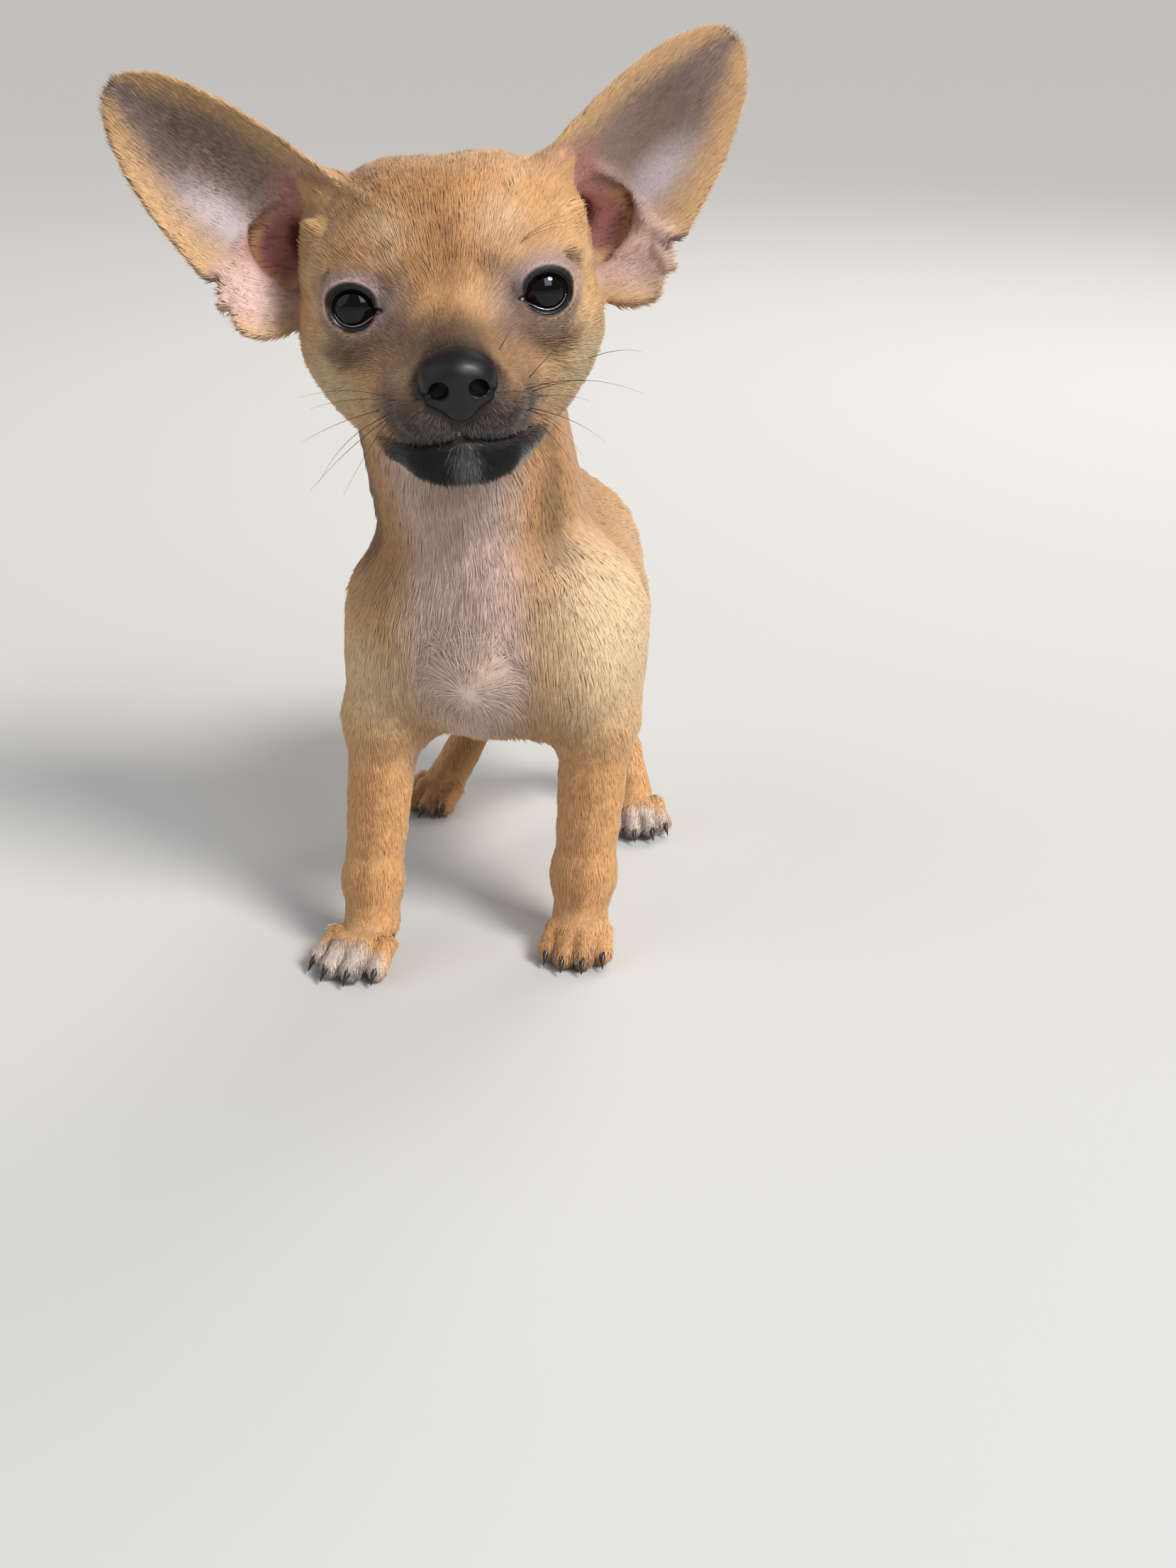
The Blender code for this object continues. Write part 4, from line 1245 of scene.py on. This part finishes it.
def hair_mesh(name, roots, normals, lie, length, width, lift, colours, root_uv):
    """One piece of closed tufts. Each has two root corners, a ridge and a tip."""
    count = len(roots)
    beside = np.cross(lie, normals)
    rise = np.sin(np.radians(lift))[:, None]
    flat = np.cos(np.radians(lift))[:, None]
    half = (width / 2)[:, None]
    long = length[:, None]
    sunk = roots - ROOT_DEPTH * normals
    left = sunk - beside * half
    right = sunk + beside * half
    ridge = roots + lie * flat * long * RIDGE_SHARE + normals * (rise * long * 0.55 + half * 0.7)
    tip = roots + lie * flat * long + normals * rise * long * 0.85
    for place in (left, right, ridge, tip):
        place[:, 2] = np.maximum(place[:, 2], 0.05)
    places = np.stack((left, right, ridge, tip), axis=1).reshape(-1, 3)
    corners = np.array((0, 2, 3, 1, 3, 2, 0, 1, 2, 0, 3, 1))
    loops = (np.arange(count)[:, None] * 4 + corners[None]).ravel()
    mesh = bpy.data.meshes.new(name)
    mesh.vertices.add(count * 4)
    mesh.vertices.foreach_set("co", drop_to_model(places).ravel())
    mesh.loops.add(count * 12)
    mesh.loops.foreach_set("vertex_index", loops)
    mesh.polygons.add(count * 4)
    mesh.polygons.foreach_set("loop_start", np.arange(count * 4) * 3)
    mesh.polygons.foreach_set("use_smooth", np.ones(count * 4, bool))
    patch = np.array(((-0.5, -0.5), (0.5, -0.5), (0.0, 0.0), (0.0, 0.5))) * PATCH
    corner_uv = root_uv[:, None, :] + patch[corners][None]
    layer = mesh.uv_layers.new(name="OFBake")
    layer.data.foreach_set("uv", corner_uv.ravel())
    paint_layer = mesh.color_attributes.new(name="markings", type="FLOAT_COLOR", domain="POINT")
    tones = np.ones((count, 4, 4), np.float32)
    tones[:, :, :3] = np.stack(colours, axis=1)
    paint_layer.data.foreach_set("color", tones.ravel())
    mesh.update()
    mesh.validate()
    facing = np.stack((normals - 0.5 * beside, normals + 0.5 * beside, normals,
                       normals + 0.25 * lie), axis=1)
    mesh.normals_split_custom_set_from_vertices(unit(facing).reshape(-1, 3).tolist())
    piece = bpy.data.objects.new(name, mesh)
    bpy.context.scene.collection.objects.link(piece)
    return piece


def frost_and_glint_share(points):
    """How many of the hairs round the nose, lips and chin have pale tips: grey hairs, and below the nose
    also painted glints on the glossy dark hairs.
    """
    local = to_head(points)
    share = spot(both_sides(local), (4.5, -15, -22.5), (6.5, 8, 4.0), 0.6)
    return np.maximum(share, 0.8 * spot(local, (0.2, -13, -33.0), (3.2, 9, 5.0), 0.6))


def grow_coat(skin, clay):
    random = np.random.default_rng(11)
    roots, normals, root_uv = sow(skin, clay, random)
    names, lie = comb_coat(roots, normals, random)
    length, width, lift, _ = groom(roots, names)
    count = len(roots)
    length = length * random.uniform(0.7, 1.2, count)
    width = width * random.uniform(0.8, 1.2, count)
    lift = lift * random.uniform(0.5, 1.6, count) + 3 * ripple(roots, 5, 41)
    scatter = np.where(names == "head", 0.5, 1.1)[:, None] * random.normal(size=roots.shape)
    scatter -= (scatter * normals).sum(axis=1, keepdims=True) * normals
    base, _ = markings(roots + scatter)
    tone = 1 + 0.05 * ripple(roots, 3.0, 51) + 0.05 * ripple(roots, 1.1, 52)
    tone = (tone * random.uniform(0.88, 1.12, count))[:, None]
    # Pale tips: grey hairs, and below the nose painted glints on the glossy dark hairs
    frosted = (random.random(count) < 0.5 * frost_and_glint_share(roots))[:, None]
    # The root corners are darker, for the darker undercolour and as painted shade deep in the coat
    shaded_foot, ridge, tip = base * tone * ROOT_SHADE_TONE, base * tone, np.clip(base * tone * TIP_TONE, 0, 1)
    tip = np.where(frosted, FROST_AND_GLINT * 0.9, tip)
    ridge = np.where(frosted, ridge * 0.5 + FROST_AND_GLINT * 0.3, ridge)
    traits = (roots, normals, lie, length, width, lift)
    groups = [("face", (names == "head") & (to_head(roots)[:, 1] < 4)),
              ("crown", (names == "head") & (to_head(roots)[:, 1] >= 4))]
    groups += [(name, names == name) for name in sorted(set(names)) if name != "head"]
    pieces = []
    for name, chosen in groups:
        index = np.flatnonzero(chosen)
        parts = max(1, math.ceil(len(index) / MOST_TUFTS))
        for number, some in enumerate(np.array_split(index[np.argsort(roots[index, 0])], parts)):
            title = "coat_" + name + ("" if parts == 1 else "_" + "abcdefgh"[number])
            tones = [colour[some] for colour in (shaded_foot, shaded_foot, ridge, tip)]
            pieces.append(hair_mesh(title, *[trait[some] for trait in traits], tones, root_uv[some]))
    return pieces


# Finishes

# Each row: colour, roughness, other sockets, and the grain's scale, strength, depth and detail
FINISHES = {
    "short_coat": (TAN, 0.62, {"Specular IOR Level": 0.35, "Sheen Weight": 0.25,
                               "Sheen Roughness": 0.4}, None),
    "thin_skin": (SKIN_PINK, 0.55, {"Specular IOR Level": 0.35}, (1500.0, 0.5, 0.0003, 3.0)),
    "nose_leather": ((0.005, 0.0045, 0.005), 0.5, {"Specular IOR Level": 0.3, "Coat Weight": 0.15,
                                                   "Coat Roughness": 0.25}, None),
    "wet_eye": ((0.003, 0.0025, 0.0025), 0.05, {"Specular IOR Level": 0.05, "Coat Weight": 0.55,
                                                "Coat Roughness": 0.02}, None),
    "lid_rim": ((0.008, 0.006, 0.006), 0.42, {"Specular IOR Level": 0.4, "Coat Weight": 0.25,
                                              "Coat Roughness": 0.2}, (2500.0, 0.35, 0.0002, 2.0)),
    "tear_line": ((0.16, 0.12, 0.12), 0.12, {"Specular IOR Level": 0.8, "Coat Weight": 1.0,
                                             "Coat Roughness": 0.04}, (1800.0, 0.4, 0.0002, 2.0)),
    "dark_horn": ((0.020, 0.016, 0.014), 0.32, {"Specular IOR Level": 0.5}, (900.0, 0.2, 0.0002, 2.0)),
    "whisker": ((0.012, 0.009, 0.007), 0.4, {}, None),
    "pale_floor": ((0.64, 0.63, 0.605), 0.85, {"Specular IOR Level": 0.3}, (40.0, 0.05, 0.001, 4.0)),
}


def link(made, source, output, target, socket):
    made.node_tree.links.new(source.outputs[output], target.inputs[socket])


def add_node(made, kind, **values):
    node = made.node_tree.nodes.new(kind)
    for socket, value in values.items():
        node.inputs[socket].default_value = value
    return node


def surface(made):
    return made.node_tree.nodes["Principled BSDF"]


def add_relief(made, pattern, output, strength, depth, **values):
    """Fine relief from a pattern on the piece's own coordinates."""
    where = add_node(made, "ShaderNodeTexCoord")
    height = add_node(made, pattern, **values)
    bump = add_node(made, "ShaderNodeBump", Strength=strength, Distance=depth)
    link(made, where, "Object", height, "Vector")
    link(made, height, output, bump, "Height")
    link(made, bump, "Normal", surface(made), "Normal")
    return height


def finish_of(name):
    colour, roughness, sockets, grain = FINISHES[name]
    made = bpy.data.materials.new(name)
    made.use_nodes = True
    values = {"Base Color": (*colour, 1.0), "Roughness": roughness, **sockets}
    for socket, value in values.items():
        surface(made).inputs[socket].default_value = value
    if grain:
        scale, strength, depth, detail = grain
        add_relief(made, "ShaderNodeTexNoise", "Fac", strength, depth, Scale=scale, Detail=detail)
    return made


def marked_finish(name):
    """A finish whose colour is the piece's painted markings."""
    made = finish_of(name)
    reader = add_node(made, "ShaderNodeAttribute")
    reader.attribute_name = "markings"
    link(made, reader, "Color", surface(made), "Base Color")
    return made


def pebbled_finish(name):
    made = finish_of(name)
    cells = add_relief(made, "ShaderNodeTexVoronoi", "Distance", -1.0, 0.0009, Scale=1400.0)
    cells.feature = "SMOOTH_F1"
    return made


# The eye's colours from its back to its front, as the sphere's own map counts
EYE_STOPS = ((0.0, (0.16, 0.14, 0.135)), (0.58, (0.08, 0.06, 0.055)), (0.64, (0.004, 0.003, 0.003)),
             (0.70, (0.016, 0.008, 0.005)), (0.80, (0.010, 0.005, 0.003)),
             (0.84, (0.0015, 0.0012, 0.0012)), (1.0, (0.0012, 0.001, 0.001)))


def eye_finish(name):
    """Black pupil, very dark brown iris and a wet surface."""
    made = finish_of(name)
    reader = add_node(made, "ShaderNodeUVMap")
    reader.uv_map = "UVMap"
    split = add_node(made, "ShaderNodeSeparateXYZ")
    ramp = add_node(made, "ShaderNodeValToRGB")
    stops = ramp.color_ramp.elements
    while len(stops) < len(EYE_STOPS):
        stops.new(0.5)
    for stop, (place, colour) in zip(stops, EYE_STOPS):
        stop.position = place
        stop.color = (*colour, 1.0)
    link(made, reader, "UV", split, "Vector")
    link(made, split, "Y", ramp, "Fac")
    link(made, ramp, "Color", surface(made), "Base Color")
    return made


# Eyes, lids, nose, claws and whiskers

def model_eye(side, name):
    bpy.ops.object.select_all(action="DESELECT")
    bpy.ops.mesh.primitive_uv_sphere_add(segments=64, ring_count=40, radius=EYE_RADIUS)
    ball = bpy.context.object
    ball.name = ball.data.name = name
    axes = eye_axes(side)
    aim = np.stack((axes[:, 0], axes[:, 2], -axes[:, 1]), axis=1)
    places = np.empty(len(ball.data.vertices) * 3)
    ball.data.vertices.foreach_get("co", places)
    places = places.reshape(-1, 3)
    forward = places[:, 2] / EYE_RADIUS
    places *= (1 + 0.05 * ease(0.62, 0.95, forward))[:, None]
    places = places @ aim.T + eye_centre(side)
    ball.data.vertices.foreach_set("co", drop_to_model(places).ravel())
    ball.data.update()
    ball.data.shade_smooth()
    return ball


def tube(points, radii, sides, up=(0, 0, 1.0)):
    """Places and faces of a closed round tube along some points."""
    points = np.asarray(points, float)
    along = unit(np.gradient(points, axis=0))
    first = np.cross(along, np.asarray(up, float))
    first = unit(np.where(np.linalg.norm(first, axis=1, keepdims=True) < 1e-3, (1.0, 0, 0), first))
    second = np.cross(along, first)
    places, faces = [], []
    for i, place in enumerate(points):
        for k in range(sides):
            angle = 2 * math.pi * k / sides
            places.append(place + radii[i] * (math.cos(angle) * first[i] + math.sin(angle) * second[i]))
    for i in range(len(points) - 1):
        for k in range(sides):
            a, b = i * sides + k, i * sides + (k + 1) % sides
            faces.append((a, a + sides, b + sides, b))
    faces.append(tuple(range(sides)))
    faces.append(tuple(reversed(range((len(points) - 1) * sides, len(points) * sides))))
    return np.array(places), faces


def join_shapes(shapes):
    """One list of places and faces from several."""
    places, faces, start = [], [], 0
    for some_places, some_faces in shapes:
        places.append(some_places)
        faces += [tuple(int(i) + start for i in face) for face in some_faces]
        start += len(some_places)
    return np.concatenate(places), faces


def lid_outline(side, angles, wider, lift):
    """Places along the edge of the lids, wider by so much, and so far off the eyeball."""
    centre, axes = eye_centre(side), eye_axes(side)
    outline = []
    for angle, more in zip(angles, wider):
        across = (EYE_OPENING[0] + more) * math.cos(angle)
        up = (EYE_OPENING[1] + more) * math.sin(angle) - 0.2
        inner = max(0.0, -side * math.cos(angle)) ** 6
        across -= side * 1.1 * inner
        up -= 0.6 * inner
        back = -math.sqrt(max((EYE_RADIUS + lift) ** 2 - across ** 2 - up ** 2, 4.0))
        outline.append(centre + axes @ np.array((across, back, up)))
    return np.array(outline)


def model_lid_rim(side, name):
    """The lids' soft moist edge, a closed band round the eye that is thicker above."""
    count, sides = 72, 12
    angles = np.linspace(0, 2 * math.pi, count, endpoint=False)
    above = ease(-0.35, 0.75, np.sin(angles))
    half = 0.32 + 0.42 * above
    outline = lid_outline(side, angles, half - 0.45, 0.62)
    centre = eye_centre(side)
    out = unit(outline - centre)
    along = unit(np.roll(outline, -1, axis=0) - np.roll(outline, 1, axis=0))
    over = np.cross(along, out)
    places = []
    for k in range(sides):
        angle = 2 * math.pi * k / sides
        places.append(outline + 0.72 * math.cos(angle) * out + (half * math.sin(angle))[:, None] * over)
    places = np.stack(places, axis=1).reshape(-1, 3)
    faces = []
    for i in range(count):
        for k in range(sides):
            here, there = i * sides, (i + 1) % count * sides
            beside = (k + 1) % sides
            faces.append((here + k, there + k, there + beside, here + beside))
    return smooth_solid(name, [(places, faces)])


def model_tear_line(side, name):
    """The wet line where the eyeball meets the lower lid, with the pink corner towards the nose."""
    angles = np.linspace(math.radians(192), math.radians(348), 40)
    line = lid_outline(side, angles, np.full(40, -0.85), 0.22)
    radii = 0.2 * np.sin(np.linspace(0.12, math.pi - 0.12, 40)) ** 0.5
    corner_angle = math.radians(188 if side > 0 else 352)
    corner = lid_outline(side, [corner_angle], [-0.35], 0.5)[0]
    aim = eye_axes(side) @ np.array((0.9, 0.2, 0.25))
    lump = [corner + aim * step for step in np.linspace(-0.8, 0.8, 7)]
    lump_radii = 0.62 * np.sqrt(np.maximum(1 - np.linspace(-0.96, 0.96, 7) ** 2, 0.05))
    return smooth_solid(name, [tube(line, radii, 8), tube(lump, lump_radii, 10)])


def smooth_solid(name, shapes):
    """One smooth piece from several closed shapes, with every face turned outwards."""
    piece = new_piece(name, *join_shapes(shapes))
    in_edit_mode(piece, choose("SELECT"), lambda: bpy.ops.mesh.normals_make_consistent(inside=False))
    piece.data.shade_smooth()
    return piece


def model_nose():
    clay = Clay()
    nose_leather(clay)
    shape_nostrils(clay)
    middle = on_head(0, -17, -15)
    low = middle - 13
    step = 0.32
    points, faces = closed_mesh(read_grid(clay, low, middle + 13, step), low, step)
    nose = new_piece("nose_pad", settle(clay, points), faces)
    nose.data.shade_smooth()
    return nose


def claw(root, tip, droop, width):
    """A curved tapered claw from its root to its tip."""
    root, tip = np.asarray(root, float), np.asarray(tip, float)
    share = np.linspace(0, 1, 7)[:, None]
    spine = root + (tip - root) * share + np.array((0, 0, droop)) * (4 * share * (1 - share))
    radii = width * np.array((1.0, 1.0, 0.92, 0.78, 0.58, 0.36, 0.1))
    return tube(spine, radii, 10)


def model_claws(clay, look, size, name, inner_side):
    """Four short claws, and on a front leg the one high on its inner side."""
    heel, ahead, across = paw_frame(look)
    up = np.array((0, 0, 1.0))
    shapes = []
    for offset, reach in zip(TOE_SIDES, TOE_REACH):
        side_step = across * offset * look["spread"] * size
        root = heel + ahead * (reach - 1.0) * size + side_step * 1.12 + up * 4.3
        tip = heel + ahead * (reach + 3.3) * size + side_step * 1.2 + up * 1.3
        shapes.append(claw(root, tip, 0.8, 1.0 * size))
    if inner_side:
        inward = across * inner_side
        start = heel - ahead * 1.5 + inward * 16 + up * 8.0
        root = clay.first_touch(start, -inward, 16.0)
        tip = root + inward * 0.9 + ahead * 1.8 - up * 2.0
        shapes.append(claw(root - inward * 0.8 + up * 0.6, tip, 0.4, 0.75))
    return smooth_solid(name, shapes)


def whisker(root, aim, length, droop, radius=0.11):
    """A long fine hair that leaves the skin straight and bends down or back."""
    root, aim = np.asarray(root, float), unit(np.asarray(aim, float))
    share = np.linspace(0, 1, 9)[:, None]
    bend = np.asarray(droop, float)
    spine = root + aim * length * share + bend * length * share ** 2.2
    radii = radius * (1 - 0.85 * share[:, 0])
    return tube(spine, radii, 5, up=(0.3, 0.5, 0.8))


# Where whiskers leave the lips and brows, across and up, and where they end, in the head's axes
WHISKERS = (
    (-15.4, -17.9, (-33.5, -8.9, -16.2)), (-13.2, -17.8, (-31.2, -16.7, -17.4)),
    (-17.1, -21.8, (-34.8, -5.5, -26.6)), (-15.9, -22.7, (-31.6, -11.6, -34.4)),
    (-15.5, -23.0, (-33.6, -11.7, -35.8)), (-15.6, -23.8, (-26.6, -13.1, -37.1)),
    (-14.8, -26.3, (-20.0, -11.1, -32.5)), (-15.5, -31.5, (-17.4, 0.5, -38.4)),
    (14.2, -18.3, (38.8, -15.6, -20.6)), (15.4, -19.6, (30.6, -11.6, -18.1)),
    (14.5, -22.9, (30.0, -15.1, -30.2)), (14.2, -22.9, (25.0, -17.6, -32.4)),
    (16.6, -21.5, (27.8, -2.6, -23.6)), (15.2, -16.7, (26.9, -8.8, -6.2)),
    (28.6, -16.9, (41.1, 10.4, -16.4)), (15.2, -27.2, (24.6, -6.6, -39.4)),
    (14.4, -30.6, (15.4, -6.6, -36.7)), (15.4, -29.8, (17.4, -4.2, -38.0)),
    (9.4, -10.1, (12.4, -11.3, -5.2)), (16.5, 11.5, (26.6, -5.1, 16.4)),
    (16.1, 11.0, (27.0, -5.9, 15.0)), (15.5, 10.5, (25.0, -6.1, 14.0)),
    (-10.7, 11.9, (-15.8, -4.6, 18.2)), (-11.4, 11.1, (-17.6, -5.1, 16.6)),
    (-7.4, -35.5, (-8.9, -13.7, -41.0)), (-4.9, -36.0, (-4.1, -13.7, -41.4)),
    (-0.8, -36.2, (-1.2, -14.9, -42.0)), (3.2, -36.2, (4.3, -14.9, -42.0)),
    (6.4, -36.0, (5.5, -13.2, -42.4)), (8.8, -35.4, (12.6, -13.0, -42.8)),
)


def model_whiskers(clay):
    random = np.random.default_rng(5)
    shapes = []
    backward = HEAD_TURN @ np.array((0.0, 1.0, 0.0))
    sink = HEAD_TURN @ np.array((0.0, 0.0, -1.0))
    for across, height, end in WHISKERS:
        root = clay.first_touch(on_head(across, -36, height), backward, 60.0)
        tip = on_head(*end)
        reach = float(np.linalg.norm(tip - root))
        bend = 0.22 * sink + 0.08 * random.normal(size=3)
        aim = tip - root - bend * reach
        length = float(np.linalg.norm(aim))
        shapes.append(whisker(root, aim, length, bend * reach / length, 0.07 if height > 5 else 0.1))
    for row in range(4):
        for place in range(5):
            for side in (-1, 1):
                across = side * (8.0 + 1.6 * place + random.uniform(-0.5, 0.5))
                height = -17.5 - 2.0 * row + random.uniform(-0.5, 0.5)
                root = clay.first_touch(on_head(across, -36, height), backward, 60.0)
                aim = (side * (0.9 + 0.2 * place), -0.5 + 0.2 * place, 0.1 - 0.25 * row)
                aim = HEAD_TURN @ np.array(aim)
                shapes.append(whisker(root, aim, random.uniform(4, 9), 0.3 * sink, 0.06))
    return smooth_solid("whiskers", shapes)


def model_lashes():
    """Short dark lashes along the upper lids."""
    random = np.random.default_rng(8)
    shapes = []
    for side in (-1, 1):
        centre, axes = eye_centre(side), eye_axes(side)
        outline = lid_outline(side, np.linspace(0.2, math.pi - 0.2, 60), np.full(60, 0.75), 1.1)
        for place in outline:
            aim = unit(place - centre) + 0.9 * axes[:, 2] - 0.5 * axes[:, 1]
            aim += 0.25 * random.normal(size=3)
            shapes.append(whisker(place, aim, random.uniform(1.0, 1.7), 0.3 * axes[:, 2], 0.05))
    return smooth_solid("lashes", shapes)


# Camera, light and floor

LIT_PLACE = np.array((0.0, -0.03, 0.12))


def place_camera():
    camera = bpy.data.objects.new("camera", bpy.data.cameras.new("camera"))
    bpy.context.scene.collection.objects.link(camera)
    camera.data.lens = LENS
    camera.data.sensor_width = 36.0
    camera.data.clip_start = 0.01
    camera.location = drop_to_model(CAMERA_PLACE)
    camera.rotation_euler = (math.radians(90 - CAMERA_PITCH), 0.0, math.radians(CAMERA_TURN))
    bpy.context.scene.camera = camera


def add_lamp(name, kind, power, colour, place, target):
    """A lamp at a place that looks at the target."""
    lamp = bpy.data.objects.new(name, bpy.data.lights.new(name, kind))
    bpy.context.scene.collection.objects.link(lamp)
    lamp.data.energy = power
    lamp.data.color = colour
    aim = place - target
    lamp.location = place
    lamp.rotation_euler = (math.atan2(math.hypot(aim[0], aim[1]), aim[2]), 0.0,
                           math.atan2(aim[1], aim[0]) + math.pi / 2)
    return lamp.data


def soft_light(name, place, size, power, colour):
    """A panel that lights the puppy's head and chest."""
    lamp = add_lamp(name, "AREA", power, colour, np.array(place), LIT_PLACE)
    lamp.shape = "RECTANGLE"
    lamp.size, lamp.size_y = size


def broad_light(name, direction, spread, strength, colour):
    """Even light from one side, as from a very large soft panel far away."""
    lamp = add_lamp(name, "SUN", strength, colour, np.array(direction) * 3.0, np.zeros(3))
    lamp.angle = math.radians(spread)


def light_room():
    broad_light("key", (0.64, -0.40, 0.72), 18, 2.5, (1.0, 0.96, 0.90))
    broad_light("fill", (-0.75, -0.5, 0.5), 60, 0.55, (0.93, 0.96, 1.0))
    soft_light("window", (0.52, -0.62, 0.66), (0.4, 0.5), 3.4, (0.74, 0.85, 1.0))
    soft_light("back", (0.25, 0.8, 0.75), (0.6, 0.6), 4.5, (1.0, 0.97, 0.93))
    world = bpy.data.worlds.new("studio")
    world.use_nodes = True
    tree = world.node_tree
    ambient = tree.nodes["Background"]
    ambient.inputs["Color"].default_value = (0.88, 0.92, 1.0, 1.0)
    ambient.inputs["Strength"].default_value = 0.26
    seen = tree.nodes.new("ShaderNodeBackground")
    seen.inputs["Color"].default_value = (0.62, 0.61, 0.59, 1.0)
    rays = tree.nodes.new("ShaderNodeLightPath")
    choose = tree.nodes.new("ShaderNodeMixShader")
    tree.links.new(rays.outputs["Is Camera Ray"], choose.inputs[0])
    tree.links.new(ambient.outputs[0], choose.inputs[1])
    tree.links.new(seen.outputs[0], choose.inputs[2])
    tree.links.new(choose.outputs[0], tree.nodes["World Output"].inputs["Surface"])
    bpy.context.scene.world = world
    bpy.context.scene.view_settings.view_transform = "Standard"


def lay_floor():
    bpy.ops.object.select_all(action="DESELECT")
    bpy.ops.mesh.primitive_plane_add(size=60.0, location=(0, 0, 0))
    floor = bpy.context.object
    floor.name = "floor"
    floor.data.materials.append(finish_of("pale_floor"))


# The whole puppy

FLESH = ("head", "neck", "torso", "tail", "ear_left", "ear_right", "front_leg_left", "front_leg_right",
         "hind_leg_left", "hind_leg_right")


def paint_skin(skin):
    places = mesh_places(skin)
    colour, bare = markings(places)
    # Darker where the coat covers it: the undercoat's colour and painted shade between the tufts
    colour = colour * (UNDER_COAT_SHADE_TONE + (1 - UNDER_COAT_SHADE_TONE) * bare)[:, None]
    layer = skin.data.color_attributes.new(name="markings", type="FLOAT_COLOR", domain="POINT")
    tones = np.ones((len(places), 4), np.float32)
    tones[:, :3] = colour
    layer.data.foreach_set("color", tones.ravel())


def finish_piece(piece, material, slot, *nodes):
    piece.data.materials.clear()
    piece.data.materials.append(material)
    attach(piece, "root")
    if nodes:
        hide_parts(*nodes)


def main():
    place_camera()
    lay_floor()
    light_room()
    clay = shape_puppy()
    skin = model_skin(clay)
    unwrap(skin)
    paint_skin(skin)
    finish_piece(skin, marked_finish("thin_skin"), "fawn", *FLESH)
    hair = marked_finish("short_coat")
    for piece in grow_coat(skin, clay):
        slot = "ear" if "ear" in piece.name else "fawn"
        finish_piece(piece, hair, slot)
    wet, rim_black, tears = eye_finish("wet_eye"), finish_of("lid_rim"), finish_of("tear_line")
    for side, word in SIDES:
        finish_piece(model_eye(side, "eyeball_" + word), wet, "eye", "eye_" + word)
        finish_piece(model_lid_rim(side, "lid_rim_" + word), rim_black, "nose")
        finish_piece(model_tear_line(side, "tear_line_" + word), tears, "eye")
    finish_piece(model_nose(), pebbled_finish("nose_leather"), "nose", "nose")
    horn = finish_of("dark_horn")
    for side, word in SIDES:
        front = model_claws(clay, FRONT[side], FRONT_PAW_SIZE, "claws_front_" + word, -side)
        hind = model_claws(clay, HIND[side], HIND_PAW_SIZE, "claws_hind_" + word, 0)
        finish_piece(front, horn, "nose")
        finish_piece(hind, horn, "nose")
    dark = finish_of("whisker")
    finish_piece(model_whiskers(clay), dark, "nose")
    finish_piece(model_lashes(), dark, "nose")


main()

import json
